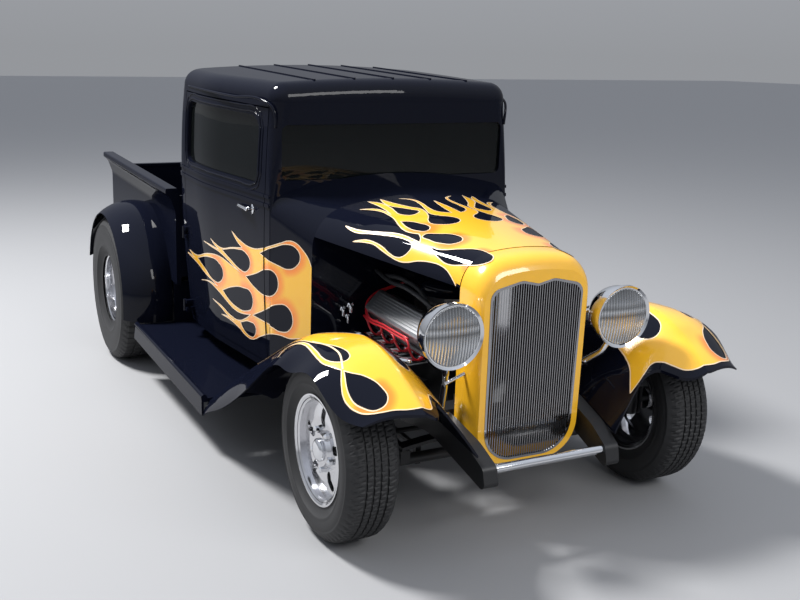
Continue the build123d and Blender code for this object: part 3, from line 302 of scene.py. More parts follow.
def make_finishes():
    """Every finish of the car, by name."""
    paint = bpy.context.scene.hot_rod_paint
    grain = grain_group()
    finishes["black"] = plain_finish(
        "BodyBlack", paint.black, 0.0, 0.22, grain, 900, 0.3, coat=0.42, shine=0.0)
    finishes["yellow"] = plain_finish("FlameYellow", paint.yellow, 0.0, 0.25, grain, 30, 0.12, coat=1.0)
    finishes["flame"] = flame_finish("FlamePaint", paint)
    finishes["stripe"] = plain_finish("OutlineStripe", paint.stripe, 0.0, 0.3, grain, 60, 0.1, coat=1.0)
    finishes["chassis"] = plain_finish(
        "ChassisBlack", (0.012, 0.012, 0.013), 0.0, 0.42, grain, 260, 0.4, 0.08)
    finishes["chrome"] = plain_finish("Chrome", (0.78, 0.79, 0.81), 1.0, 0.05, grain, 12, 0.08)
    finishes["alloy"] = plain_finish("PolishedAlloy", (0.74, 0.74, 0.76), 1.0, 0.14, grain, 60, 0.2)
    finishes["cast_alloy"] = plain_finish("CastAlloy", (0.72, 0.72, 0.73), 1.0, 0.33, grain, 90, 0.25, 0.05)
    finishes["bars"] = plain_finish("GrilleBars", (0.42, 0.42, 0.43), 1.0, 0.12, grain, 60, 0.2)
    finishes["engine"] = plain_finish("EnginePaint", (0.02, 0.021, 0.023), 0.2, 0.4, grain, 300, 0.5, 0.25)
    finishes["lead_red"] = plain_finish("PlugLead", (0.55, 0.012, 0.02), 0.0, 0.35, grain, 200, 0.2, coat=0.4)
    finishes["hose"] = plain_finish("HoseRubber", (0.035, 0.036, 0.04), 0.0, 0.5, grain, 400, 0.3, 0.1)
    finishes["rubber"] = plain_finish("TyreRubber", (0.016, 0.016, 0.017), 0.0, 0.62, grain, 500, 0.5, 0.25)
    finishes["trim"] = plain_finish("CabinTrim", (0.02, 0.02, 0.021), 0.0, 0.6, grain, 700, 0.5, 0.3)
    finishes["seat"] = plain_finish("BenchHide", (0.035, 0.03, 0.03), 0.0, 0.5, grain, 420, 0.4, 0.35)
    finishes["red"] = plain_finish("RedLens", (0.35, 0.01, 0.008), 0.0, 0.12, grain, 80, 0.2, coat=1.0)
    finishes["lens"] = lens_finish("LampLens")
    finishes["glass"] = glass_finish("TintedGlass", (0.004, 0.005, 0.005), 0.82)
    finishes["lamp_glass"] = glass_finish("LampGlass", (0.75, 0.78, 0.8), 0.35)


slot_finish = {
    "black_paint": "black", "flame_yellow": "yellow", "chassis_black": "chassis", "chrome": "chrome",
    "bright_trim": "chrome", "polished_alloy": "alloy", "engine_metal": "engine", "cabin_trim": "trim",
    "seat_cover": "seat", "tinted_glass": "glass", "lamp_glass": "lamp_glass", "red_lens": "red",
    "tyre_rubber": "rubber",
}

# Nodes whose finish differs from that of their slot
special_finish = {"hood_top": "black", "engine_tops": "cast_alloy", "grille_insert": "bars"}


def finish_nodes():
    """Each node of the frame takes the finish that its record's slot stands for."""
    for entry in frame["record"]["subparts"]:
        piece = nodes[entry["node"]]
        material = finishes[slot_finish[entry["material_slot"]]]
        for slot in piece.material_slots:
            slot.material = material
    for name, finish in special_finish.items():
        for slot in nodes[name].material_slots:
            slot.material = finishes[finish]


class HOTROD_OT_finish_frame(bpy.types.Operator):
    """Gives every node of the frame its paint, metal, glass or rubber"""

    bl_idname = "hotrod.finish_frame"
    bl_label = "Finish Frame"

    def execute(self, context):
        make_finishes()
        finish_nodes()
        return {"FINISHED"}


# Flames

# Outlines are closed and smooth; a 1 in the third column is a sharp tip or notch.
# Side flame, columns: y and z of the body drawing in millimetres
side_flame = [
    (752, 515, 1), (752, 832, 1), (770, 868), (801, 899), (840, 923), (879, 925), (923, 908), (1037, 864),
    (1144, 843), (1258, 857), (1335, 885, 1), (1278, 844), (1231, 826, 1), (1339, 806), (1441, 783),
    (1513, 793), (1557, 806, 1), (1504, 780), (1463, 769, 1), (1549, 774), (1648, 777, 1), (1549, 768),
    (1464, 759), (1383, 739), (1314, 718), (1256, 705, 1), (1344, 719), (1465, 737), (1589, 726),
    (1772, 679), (1894, 681, 1), (1828, 661), (1795, 656, 1), (1881, 660), (1975, 661, 1), (1849, 649),
    (1732, 634), (1632, 611), (1560, 598), (1505, 582, 1), (1584, 587), (1714, 566, 1), (1598, 581),
    (1497, 559), (1427, 534), (1367, 514), (1308, 505), (1237, 511), (1176, 524, 1), (1230, 491),
    (1305, 463), (1387, 467), (1477, 491), (1574, 503, 1), (1489, 483), (1410, 456), (1348, 449, 1),
    (1421, 453), (1486, 446, 1), (1402, 443), (1301, 425), (1244, 406), (1184, 403), (1082, 446),
    (983, 484), (925, 493), (867, 491), (811, 505),
]

side_drops = [
    [(1071, 835, 1), (957, 885), (890, 908), (840, 902), (814, 867), (838, 819), (883, 799), (939, 806)],
    [(1208, 699, 1), (1111, 733), (1019, 771), (962, 772), (936, 732), (955, 674), (1016, 651),
     (1116, 662)],
    [(1442, 776, 1), (1280, 811), (1203, 810), (1161, 775), (1197, 723), (1265, 720), (1353, 746)],
    [(1757, 669, 1), (1578, 711), (1479, 705), (1436, 667), (1469, 613), (1547, 603), (1641, 637)],
    [(1453, 575, 1), (1355, 613), (1243, 637), (1157, 626), (1153, 570), (1225, 528), (1315, 525),
     (1395, 544)],
    [(1157, 526, 1), (1029, 585), (938, 630), (886, 633), (852, 589), (868, 530), (919, 509), (983, 521),
     (1090, 525)],
    [(1285, 459, 1), (1191, 486), (1135, 475), (1151, 427), (1203, 413), (1259, 431)],
]

# Bonnet flame, right half, columns: degrees from upright about the line through (0, y, 700), and y
hood_flame = [
    (56, -180, 1), (51, -61), (47.5, -28), (44.5, 15), (44, 61), (45, 101), (47.5, 158), (52, 228), (53, 264),
    (53, 312), (52.5, 363), (52, 416), (53, 461), (55.5, 528, 1), (52, 466), (51, 417), (51, 364),
    (52, 316), (52, 280), (50.5, 252), (47, 233), (43.5, 235), (42, 254), (42, 288), (43, 332),
    (45.5, 396), (48.5, 469), (51, 530), (51.5, 573), (51, 615, 1), (50.5, 574), (49.5, 528), (45.5, 431),
    (42, 361), (40.5, 311), (40, 268), (39.5, 218, 1), (37, 240), (35.5, 269, 1), (37.5, 310), (38, 344),
    (37, 398), (34.5, 478), (34, 534), (34.5, 587), (37, 632), (40, 667, 1), (35, 631), (33, 583),
    (33, 521, 1), (32, 568), (31.5, 638), (32.5, 732, 1), (29, 683), (28, 614), (29, 549), (29.5, 512),
    (28, 486), (25, 469), (21, 478), (18.5, 501), (20.5, 532), (23.5, 572), (26.5, 613), (27.5, 659),
    (26, 726, 1), (24.5, 682), (22.5, 631), (19, 567), (16, 529), (16, 483), (19, 418), (22.5, 373),
    (23.5, 332), (19.5, 300), (14.5, 288), (8, 303), (5.5, 344), (8, 379), (12.5, 407), (15.5, 442),
    (14, 507), (11.5, 596), (12, 657), (17, 698, 1), (11, 662), (9.5, 606), (10.5, 528), (10, 470),
    (6, 437), (3, 428, 1), (2.5, 490), (1.5, 560), (0, 620, 1),
]

hood_drops = [
    [(38.5, 161, 1), (37, 109), (30.5, 40), (24.5, -16), (23, -61), (25, -122), (29.5, -128), (37, -43),
     (41.5, 28), (41.5, 77)],
    [(35, 246), (28, 214), (22.5, 168), (23, 107), (29, 91), (34, 142), (35.5, 194)],
    [(34, 432, 1), (30.5, 406), (28, 362), (26.5, 323), (27.5, 292), (31.5, 273), (34, 295), (35.5, 353)],
]

# Front fender flame, columns: distance from the car's middle plane, and y
fender_flame = [
    (392, -292, 1), (420, -293), (455, -290), (486, -288), (510, -312), (530, -362), (552, -412),
    (590, -438), (645, -442), (700, -427), (750, -410), (784, -386), (803, -358), (815, -330), (820, -300),
    (812, -262), (792, -215, 1), (812, -178), (825, -140), (823, -90), (813, -25), (804, 35), (800, 90),
    (808, 150), (825, 195), (862, 195, 1), (830, 207), (806, 170), (791, 95), (793, 40), (802, -35),
    (811, -95), (806, -145), (788, -173), (765, -186), (746, -178), (738, -154), (740, -117), (748, -76),
    (759, -23), (770, 23), (780, 85), (790, 180), (795, 300), (793, 420), (793, 520), (797, 600, 1),
    (785, 520), (776, 420), (762, 300), (735, 190), (700, 110), (660, 30), (625, -50), (606, -110),
    (602, -150), (596, -187), (583, -210), (562, -221), (540, -214), (520, -185), (508, -130), (500, -60),
    (494, 20), (492, 95, 1), (478, 20), (466, -60), (455, -130), (447, -185), (434, -228), (412, -262),
]

fender_drops = [
    [(787, -222, 1), (772, -241), (733, -282), (703, -337), (702, -387), (741, -403), (784, -364),
     (803, -310)],
]

# Thin lick that crosses the others, columns: distance from the middle plane, and y.
# Its width is a share of the stripe's
fender_strand = [(787, -214), (765, -139), (762, -91), (763, -31), (776, 80)]
strand_share = 1.6
strand_lift = 0.0025

# Step of the grid that cuts a fill, and how far the paint stands off the panels, in metres
grid_step = 0.012
flame_lift = 0.0018
stripe_lift = 0.0022

# Share of a teardrop's length beyond which a point is on its round end
blunt_share = 0.72

# Where the rays start, in millimetres from the middle plane, the floor and the bonnet's line
side_reach = 900.0
fender_reach = 1300.0
hood_reach = 760.0
hood_axis_z = 700.0

# Millimetres of the flat outline for each degree about the bonnet's line
hood_arc = 7.0

# Two points, y and z, on the gap between cowl and door, and how far from it the paint of each ends
door_line = ((1042.5, 420.0), (1037.5, 900.0))
cowl_cut = 3.0
door_cut = 1.0

# Places along y where the bonnet's flame ends and where its teardrops run on over the grille shell
hood_front = -59.0
shell_rear = -61.0


def mirror_outline(half):
    """A half outline that ends on the middle, and its mirror image back to the start."""
    return half + [(-u, *rest) for u, *rest in reversed(half[:-1])]


def flat_shape(loops, closed=True, filled=True, fineness=8):
    """Smooth outlines in one plane as a mesh; filled, an outline inside another is a hole."""
    curve = bpy.data.curves.new("Outline", "CURVE")
    curve.dimensions = "2D"
    curve.fill_mode = "BOTH" if filled else "NONE"
    curve.resolution_u = fineness
    for loop in loops:
        spline = curve.splines.new("BEZIER")
        spline.bezier_points.add(len(loop) - 1)
        spline.use_cyclic_u = closed
        for knot, (u, v, *tip) in zip(spline.bezier_points, loop):
            knot.co = (u / 1000, v / 1000, 0)
            knot.handle_left_type = "VECTOR" if tip else "AUTO"
            knot.handle_right_type = "VECTOR" if tip else "AUTO"
    holder = bpy.data.objects.new("Outline", curve)
    shape = bmesh.new()
    shape.from_mesh(holder.to_mesh())
    holder.to_mesh_clear()
    bpy.data.objects.remove(holder)
    bpy.data.curves.remove(curve)
    bmesh.ops.remove_doubles(shape, verts=shape.verts[:], dist=0.00002)
    return shape


def trim(shape, at, facing):
    """Cuts off what lies beyond a line of the flat outline."""
    parts = shape.verts[:] + shape.edges[:] + shape.faces[:]
    at = Vector((*at, 0)) / 1000
    bmesh.ops.bisect_plane(shape, geom=parts, plane_co=at, plane_no=(*facing, 0), clear_outer=True)


def blunt_points(drops):
    """Points on the round ends of teardrops, away from their sharp tips."""
    points = []
    for drop in drops:
        tip = Vector((drop[0][0] / 1000, drop[0][1] / 1000, 0))
        line = flat_shape([drop], filled=False)
        far = max((vert.co - tip).length for vert in line.verts)
        points += [vert.co.copy() for vert in line.verts if (vert.co - tip).length > blunt_share * far]
        line.free()
    return points


def mark_rim(shape, drops):
    """Cuts a fill into small faces by a grid, and keeps each point's distance from the teardrops' ends."""
    edge_points = [vert.co.copy() for vert in shape.verts]
    ends = blunt_points(drops)
    tree = KDTree(len(ends))
    for i, point in enumerate(ends):
        tree.insert(point, i)
    tree.balance()
    for axis in (0, 1):
        low = min(p[axis] for p in edge_points)
        high = max(p[axis] for p in edge_points)
        for i in range(1, int((high - low) / grid_step) + 1):
            at = Vector((0, 0, 0))
            normal = Vector((0, 0, 0))
            at[axis] = low + i * grid_step
            normal[axis] = 1
            parts = shape.verts[:] + shape.edges[:] + shape.faces[:]
            bmesh.ops.bisect_plane(shape, geom=parts, plane_co=at, plane_no=normal)
    rim = shape.verts.layers.float.new("rim")
    for vert in shape.verts:
        vert[rim] = tree.find(vert.co)[2] if ends else 1.0


def strip_shape(loops, width, closed=True):
    """A narrow flat strip along each smooth outline."""
    shape = flat_shape(loops, closed=closed, filled=False)
    across = shape.verts.layers.float_vector.new("across")
    for vert in shape.verts:
        along = Vector((0, 0, 0))
        for edge in vert.link_edges:
            along += (edge.verts[1].co - edge.verts[0].co).normalized()
        along = along.normalized()
        vert[across] = Vector((-along.y, along.x, 0)) * (width / 2)
    first = shape.verts[:]
    made = bmesh.ops.extrude_edge_only(shape, edges=shape.edges[:])["geom"]
    for vert in first:
        vert.co += vert[across]
    for vert in (item for item in made if isinstance(item, bmesh.types.BMVert)):
        vert.co -= vert[across]
    return shape


def side_cast(side):
    """Rays square to one side of the car, by y and z."""
    def cast(u, v):
        return place(side * side_reach, u, v), place(0, u, v)
    return cast


def hood_cast(u, v):
    """Rays towards the bonnet's line, by the way around it and the place along it."""
    turn = math.radians(u / hood_arc)
    start = place(-math.sin(turn) * hood_reach, v, hood_axis_z + math.cos(turn) * hood_reach)
    return start, place(0, v, hood_axis_z)


def fender_cast(side):
    """Rays straight down on one front fender, by the distance from the middle plane and y."""
    def cast(u, v):
        return place(side * u, v, fender_reach), place(side * u, v, 0)
    return cast


def lay(shape, cast, names, lift):
    """Drops each flat point onto the outermost of the named nodes; points that miss are removed."""
    skins = [node_tree(name) for name in names]
    missed = []
    for vert in shape.verts:
        start, end = cast(vert.co.x * 1000, vert.co.y * 1000)
        way = (end - start).normalized()
        best = None
        for skin in skins:
            hit, normal, _, distance = skin.ray_cast(start, way)
            if hit is not None and (best is None or distance < best[2]):
                best = (hit, normal, distance)
        if best is None:
            missed.append(vert)
            continue
        normal = best[1] if best[1].dot(way) < 0 else -best[1]
        vert.co = best[0] + normal * lift
    bmesh.ops.delete(shape, geom=missed, context="VERTS")
    start, end = cast(0.0, 0.0)
    facing = Vector((0, 0, 0))
    for face in shape.faces:
        face.normal_update()
        face.smooth = True
        facing += face.normal * face.calc_area()
    if facing.dot(end - start) > 0:
        bmesh.ops.reverse_faces(shape, faces=shape.faces[:])


node_trees = {}


def node_tree(name):
    """The ray tree of one node's mesh."""
    if name not in node_trees:
        shape = bmesh.new()
        shape.from_mesh(nodes[name].data)
        node_trees[name] = BVHTree.FromBMesh(shape)
        shape.free()
    return node_trees[name]


def keep_shape(shape, name, material, body):
    """Makes an object of a finished shape, riding on a body."""
    mesh = bpy.data.meshes.new(name)
    shape.to_mesh(mesh)
    shape.free()
    mesh.materials.append(material)
    piece = bpy.data.objects.new(name, mesh)
    bpy.context.scene.collection.objects.link(piece)
    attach(piece, body)
    return piece


def painted(name, loops, cast, targets, body, trims=()):
    """A painted flame on the named nodes, with its outline stripe."""
    fill = flat_shape(loops)
    for at, facing in trims:
        trim(fill, at, facing)
    mark_rim(fill, loops[1:])
    lay(fill, cast, targets, flame_lift)
    keep_shape(fill, name, finishes["flame"], body)
    line = strip_shape(loops, bpy.context.scene.hot_rod_paint.stripe_width)
    for at, facing in trims:
        trim(line, at, facing)
    lay(line, cast, targets, stripe_lift)
    keep_shape(line, name + "_stripe", finishes["stripe"], body)


def side_flames(side, word):
    """The flame of one side, cut in two at the gap between cowl and door."""
    (low_y, low_z), (high_y, high_z) = door_line
    rearward = (high_z - low_z, low_y - high_y)
    forward = (-rearward[0], -rearward[1])
    loops = [side_flame, *side_drops]
    cast = side_cast(side)
    cut = [((low_y - cowl_cut, low_z), rearward)]
    painted(f"cowl_flame_{word}", loops, cast, ["cowl", "cab_shell"], "chassis", cut)
    cut = [((low_y + door_cut, low_z), forward)]
    painted(f"door_flame_{word}", loops, cast, [f"door_{word}"], f"door_{word}_body", cut)


def fender_flames(side, word, width):
    """The flame of one front fender, with the thin lick that crosses it."""
    cast = fender_cast(side)
    painted(f"fender_flame_{word}", [fender_flame, *fender_drops], cast, ["front_fenders"], "chassis")
    strand = strip_shape([fender_strand], width * strand_share, closed=False)
    lay(strand, cast, ["front_fenders"], strand_lift)
    keep_shape(strand, f"fender_strand_{word}", finishes["stripe"], "chassis")


def shell_drop(loop, word, width):
    """The part of a bonnet teardrop that runs on over the grille shell."""
    patch = flat_shape([loop])
    trim(patch, (0, shell_rear), (0, 1))
    mark_rim(patch, [])
    lay(patch, hood_cast, ["grille_shell"], flame_lift)
    keep_shape(patch, f"shell_drop_{word}", finishes["black"], "chassis")
    line = strip_shape([loop], width)
    trim(line, (0, shell_rear), (0, 1))
    lay(line, hood_cast, ["grille_shell"], stripe_lift)
    keep_shape(line, f"shell_drop_stripe_{word}", finishes["stripe"], "chassis")


class HOTROD_OT_flames(bpy.types.Operator):
    """Paints the flames and their outline stripes on the sides, the bonnet and the front fenders"""

    bl_idname = "hotrod.flames"
    bl_label = "Flames"

    def execute(self, context):
        width = context.scene.hot_rod_paint.stripe_width
        for side, word in ((-1, "right"), (1, "left")):
            side_flames(side, word)
            fender_flames(side, word, width)
        loops = [mirror_outline(hood_flame)]
        for drop in hood_drops:
            loops += [drop, [(-u, *rest) for u, *rest in reversed(drop)]]
        loops = [[(u * hood_arc, v, *tip) for u, v, *tip in loop] for loop in loops]
        painted("bonnet_flame", loops, hood_cast, ["hood_top"], "chassis", [((0, hood_front), (0, -1))])
        shell_drop(loops[1], "right", width)
        shell_drop(loops[2], "left", width)
        return {"FINISHED"}


# Turned and drawn pieces

def turned(section, steps, axis, smooth=True, fineness=8):
    """A section of points along an axis and out from it, in millimetres, spun about it at the origin."""
    shape = flat_shape([section], closed=False, filled=False, fineness=fineness)
    for vert in shape.verts:
        along, out = vert.co.x, vert.co.y
        if axis == "X":
            vert.co = (along, 0, out)
        elif axis == "Y":
            vert.co = (out, along, 0)
        else:
            vert.co = (out, 0, along)
    line = {"X": (1, 0, 0), "Y": (0, 1, 0), "Z": (0, 0, 1)}[axis]
    parts = shape.verts[:] + shape.edges[:]
    bmesh.ops.spin(shape, geom=parts, cent=(0, 0, 0), axis=line, angle=math.tau, steps=steps, use_merge=True)
    bmesh.ops.remove_doubles(shape, verts=shape.verts[:], dist=0.00001)
    bmesh.ops.recalc_face_normals(shape, faces=shape.faces[:])
    for face in shape.faces:
        face.smooth = smooth
    return shape


def moved(shape, to, tilt=True):
    """Carries a shape from the origin to a place on the car, leaning with the body."""
    turn = Matrix.Rotation(RAKE, 4, "X") if tilt else Matrix.Identity(4)
    bmesh.ops.transform(shape, matrix=Matrix.Translation(to) @ turn, verts=shape.verts[:])
    return shape


def join(shapes):
    """Several shapes as one."""
    whole = bmesh.new()
    for shape in shapes:
        mesh = bpy.data.meshes.new("Part")
        shape.to_mesh(mesh)
        shape.free()
        whole.from_mesh(mesh)
        bpy.data.meshes.remove(mesh)
    return whole


def tube(points, radius, sides=3):
    """A round cord or pipe through points of the body drawing, in millimetres."""
    curve = bpy.data.curves.new("Tube", "CURVE")
    curve.dimensions = "3D"
    curve.bevel_depth = radius / 1000
    curve.bevel_resolution = sides
    curve.use_fill_caps = True
    curve.resolution_u = 8
    spline = curve.splines.new("BEZIER")
    spline.bezier_points.add(len(points) - 1)
    for knot, point in zip(spline.bezier_points, points):
        knot.co = place(*point)
        knot.handle_left_type = "AUTO"
        knot.handle_right_type = "AUTO"
    holder = bpy.data.objects.new("Tube", curve)
    shape = bmesh.new()
    shape.from_mesh(holder.to_mesh())
    holder.to_mesh_clear()
    bpy.data.objects.remove(holder)
    bpy.data.curves.remove(curve)
    bmesh.ops.remove_doubles(shape, verts=shape.verts[:], dist=0.00001)
    for face in shape.faces:
        face.smooth = True
    return shape


# Tyres and wheels

# Tyres in millimetres: columns round the tyre, grooves round it, and sipes across it at every few columns
tyre_columns = 300
tyre_smoothness = 3
groove_shares = (0.62, 0.2, -0.2, -0.62)
groove_width = 8.0
groove_depth = 7.0
sipe_depth = 5.5
sipe_pitch = 5
sipe_slant = 9.0
crown_margin = 40.0
crown_drop = 2.0
shoulder_depth = 20.0
rim_seat = 190.5
bead_top = 207.0


def tyre_section(half, radius):
    """One tyre section from bead to bead, with the tread's grooves and two raised wall lines."""
    middle = (radius + bead_top) / 2 + 4
    crown = half - crown_margin
    wall = [
        (half - 24, rim_seat), (half - 24, 208), (half - 16, 228), (half - 5, 243, 1), (half - 2, 246, 1),
        (half - 3, 250, 1), (half - 1, middle), (half - 5, radius - 44, 1), (half - 3, radius - 41, 1),
        (half - 7, radius - 37, 1), (half - 17, radius - shoulder_depth, 1), (half - 27, radius - 9, 1),
        (crown, radius - crown_drop, 1),
    ]
    tread = []
    for share in groove_shares:
        outer = crown * share + groove_width / 2
        inner = crown * share - groove_width / 2
        for x, drop in ((outer, 0), (outer - 1, groove_depth), (inner + 1, groove_depth), (inner, 0)):
            tread.append((x, radius - drop - crown_drop * (x / half) ** 2, 1))
    return wall + tread + [(-x, r, *tip) for x, r, *tip in reversed(wall)]


def tyre_shape(name):
    """The tyre of one wheel with its treaded crown, in place of the plain one."""
    low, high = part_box(name)
    half = (high[0] - low[0]) * 500
    radius = (high[2] - low[2]) * 500
    shape = turned(tyre_section(half, radius), tyre_columns, "X", fineness=tyre_smoothness)
    last_groove = (half - crown_margin) * groove_shares[0] + groove_width / 2
    for vert in shape.verts:
        out = math.hypot(vert.co.y, vert.co.z)
        across = abs(vert.co.x * 1000)
        depth = shoulder_depth if across > last_groove - 0.1 else crown_drop + 1
        if out * 1000 < radius - depth - 0.5:
            continue
        column = round(math.atan2(vert.co.y, vert.co.z) / math.tau * tyre_columns)
        slant = round(across / sipe_slant)
        if vert.co.x <= 0:
            slant = -slant
        if (column + slant) % sipe_pitch == 0:
            vert.co.y *= 1 - sipe_depth / 1000 / out
            vert.co.z *= 1 - sipe_depth / 1000 / out
    for face in shape.faces:
        middle = face.calc_center_median()
        face.smooth = math.hypot(middle.y, middle.z) * 1000 < radius - shoulder_depth
    return moved(shape, (Vector(low) + Vector(high)) / 2, tilt=False)


# Wheel dress in millimetres: how far out the disc's face stands, the nuts, and the centre cap.
# Section columns: way out along the axle, and distance from it
wheel_face = {"front": 70.0, "rear": 72.0}
nut_count = 5
nut_circle = 79.0
nut_sink = 16.0
cap_sink = 1.0
nut_section = [(0, 0), (0, 11, 1), (14, 11, 1), (20, 7, 1), (20, 0)]
cap_section = [(0, 0), (0, 44, 1), (10, 42, 1), (18, 30), (21, 0)]


def wheel_dress(name, end, side, body):
    """Lug nuts and centre cap of one wheel."""
    low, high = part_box(name)
    cap = turned(cap_section, 40, "X")
    cap.transform(Matrix.Translation(((wheel_face[end] - cap_sink) / 1000, 0, 0)))
    shapes = [cap]
    for i in range(nut_count):
        turn = math.tau * (i + 0.5) / nut_count
        at = Vector((wheel_face[end] - nut_sink, nut_circle * math.sin(turn), nut_circle * math.cos(turn)))
        nut = turned(nut_section, 6, "X", smooth=False)
        nut.transform(Matrix.Translation(at / 1000))
        shapes.append(nut)
    shape = join(shapes)
    if side < 0:
        bmesh.ops.scale(shape, vec=(-1, 1, 1), verts=shape.verts[:])
        bmesh.ops.reverse_faces(shape, faces=shape.faces[:])
    moved(shape, (Vector(low) + Vector(high)) / 2, tilt=False)
    keep_shape(shape, f"nuts_{name}", finishes["chrome"], body)


class HOTROD_OT_wheels(bpy.types.Operator):
    """Gives each wheel its treaded tyre, lug nuts and centre cap"""

    bl_idname = "hotrod.wheels"
    bl_label = "Wheels"

    def execute(self, context):
        for end in ("front", "rear"):
            for side, word in ((1, "left"), (-1, "right")):
                body = f"wheel_{end}_{word}_body"
                node = f"tyre_{end}_{word}"
                tyre = tyre_shape(node)
                piece = keep_shape(tyre, f"tread_{end}_{word}", finishes["rubber"], body)
                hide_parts(node)
                wheel_dress(f"wheel_{end}_{word}", end, side, body)
        return {"FINISHED"}


# Lamps

class HOTROD_OT_lamps(bpy.types.Operator):
    """Sets a domed, fluted glass in each headlamp"""

    bl_idname = "hotrod.lamps"
    bl_label = "Lamps"

    def execute(self, context):
        section = [(along, share * lamp_glass_radius, *tip) for along, share, *tip in lens_section]
        domes = []
        for side in (1, -1):
            domes.append(moved(turned(section, 64, "Y"), place(side * lamp_x, lamp_y, lamp_z)))
        piece = keep_shape(join(domes), "lamp_lenses", finishes["lens"], "chassis")
        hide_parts("headlamp_lenses")
        return {"FINISHED"}


# Engine dress, in millimetres of the body drawing; paths hold x, y and z of the left side

port_y = (250.0, 373.3, 496.7, 620.0)
plug_before_port = 26.0
loom_gap = 12.0
lead_radius = 4.5
boot_radius = 8.5
loom_radius = 5.0
loom_path = [(292, 255, 640), (298, 440, 642), (290, 640, 644), (238, 716, 690)]
loom_end = (60, 730, 742)

# Hoses: radius and path
hoses = [
    (19, [(70, 212, 700), (96, 130, 742), (120, 60, 826), (132, 10, 880)]),
    (9.5, [(150, 190, 700), (212, 230, 772), (232, 380, 806), (224, 560, 796), (200, 742, 800)]),
    (9.5, [(190, 240, 716), (200, 300, 790), (205, 460, 822), (200, 640, 800), (150, 748, 770)]),
]

# Pipe unions on the firewall, columns: x, z, reach and radius
firewall_face = 752.0
firewall_fittings = [(338, 664, 46, 15), (368, 648, 34, 12), (348, 616, 40, 10)]

# Air cleaner's cover: its foot, and its section as height and distance from the middle
cleaner_foot = (0, 435, 769.3)
cleaner_section = [
    (-1, 90, 1), (-1, 141.5, 1), (52, 141.5, 1), (54, 104, 1), (61, 101, 1), (62, 14, 1), (74, 12, 1),
    (74, 0),
]


def side_tube(side, points, radius):
    """A tube on one side of the car, from a path of the left side."""
    return tube([(side * x, y, z) for x, y, z in points], radius)


def plug_lead(side, y, drop):
    """One plug's lead, from its boot at the head up to the loom."""
    boot = side_tube(side, [(226, y, 568), (256, y, 560)], boot_radius)
    path = [(232, y, 566), (268, y, 560), (292, y + 8, 590)]
    path += [(298, y + 20, 628 - drop), (294, y + 66, 640 - drop)]
    return [side_tube(side, path, lead_radius), boot]


def fitting(side, x, z, reach, radius):
    """A short pipe out of the firewall, and the thinner one that turns down from its end."""
    start = firewall_face - 1
    end = firewall_face - reach
    stub = side_tube(side, [(x, start, z), (x, (start + end) / 2, z), (x, end, z)], radius)
    leg = side_tube(side, [(x, end, z), (x, end - 6, z - 14), (x, end - 8, z - 30)], radius / 2)
    return [stub, leg]


class HOTROD_OT_engine(bpy.types.Operator):
    """Adds the plug leads, the hoses, the firewall's pipe unions and the air cleaner's cover"""

    bl_idname = "hotrod.engine"
    bl_label = "Engine Dress"

    def execute(self, context):
        leads = []
        for side in (1, -1):
            for i, y in enumerate(port_y):
                leads += plug_lead(side, y - plug_before_port, loom_gap * (i % 2))
            for drop in (0, loom_gap):
                path = [(x, y, z - drop) for x, y, z in loom_path] + [loom_end]
                leads.append(side_tube(side, path, loom_radius))
        keep_shape(join(leads), "plug_leads", finishes["lead_red"], "chassis")
        pipes = [side_tube(side, path, radius) for side in (1, -1) for radius, path in hoses]
        keep_shape(join(pipes), "water_hoses", finishes["hose"], "chassis")
        unions = []
        for side in (1, -1):
            for sizes in firewall_fittings:
                unions += fitting(side, *sizes)
        keep_shape(join(unions), "firewall_fittings", finishes["chrome"], "chassis")
        cover = moved(turned(cleaner_section, 64, "Z"), place(*cleaner_foot))
        keep_shape(cover, "cleaner_cover", finishes["black"], "chassis")
        return {"FINISHED"}


# Trim, in millimetres of the body drawing

# Drip rail over the left door
rail_path = [(573, 1000, 1392), (581, 1006, 1470), (600, 1050, 1497), (660, 1300, 1500), (684, 1620, 1500),
             (684, 1900, 1499)]
rail_radius = 6.0

# Side window opening, y and z limits; its beads' distance outside it and their radius
window_y = (1112.0, 1885.0)
window_z = (1138.0, 1432.0)
window_corner = 46.0
corner_share = 0.29
beads = ((12, 4.5), (34, 3.5))

# Door handle: y and z of its stem, its lever's distance from the middle plane, and the radii of its parts
handle_at = (1150.0, 1020.0)
handle_out = 652.0
lever_radius = 9.5
stem_radius = 10.5
rose_radius = 25.5

# Black plates ahead of the rear wheels, painted shade standing in for the shadow under the car between
# running board and bed: limits along x, y and z
shade_plate_x = (506.0, 699.0)
shade_plate_y = (2188.0, 2192.0)
shade_plate_z = (214.4, 439.6)


def window_path(grow):
    """Points round the window opening, some way outside it, with its corners cut round."""
    corner = window_corner + grow
    cut = corner * corner_share
    y0, y1 = window_y[0] - grow, window_y[1] + grow
    z0, z1 = window_z[0] - grow, window_z[1] + grow
    points = [
        (y0, z1 - corner), (y0 + cut, z1 - cut), (y0 + corner, z1),
        (y1 - corner, z1), (y1 - cut, z1 - cut), (y1, z1 - corner),
        (y1, z0 + corner), (y1 - cut, z0 + cut), (y1 - corner, z0),
        (y0 + corner, z0), (y0 + cut, z0 + cut), (y0, z0 + corner),
    ]
    fine = []
    for here, there in zip(points, points[1:] + points[:1]):
        steps = 6 if math.dist(here, there) > 2 * corner else 2
        for i in range(steps):
            fine.append([a + (b - a) * i / steps for a, b in zip(here, there)])
    return fine


def window_bead(side, word, grow, radius):
    """A rounded bead on the door's skin, round the window opening."""
    skin = node_tree(f"door_{word}")
    cast = side_cast(side)
    path = []
    for y, z in window_path(grow):
        start, end = cast(y, z)
        hit = skin.ray_cast(start, (end - start).normalized())[0]
        if hit is not None:
            path.append((abs(hit.x) * 1000 * side, y, z))
    return tube(path + path[:1], radius, sides=2)


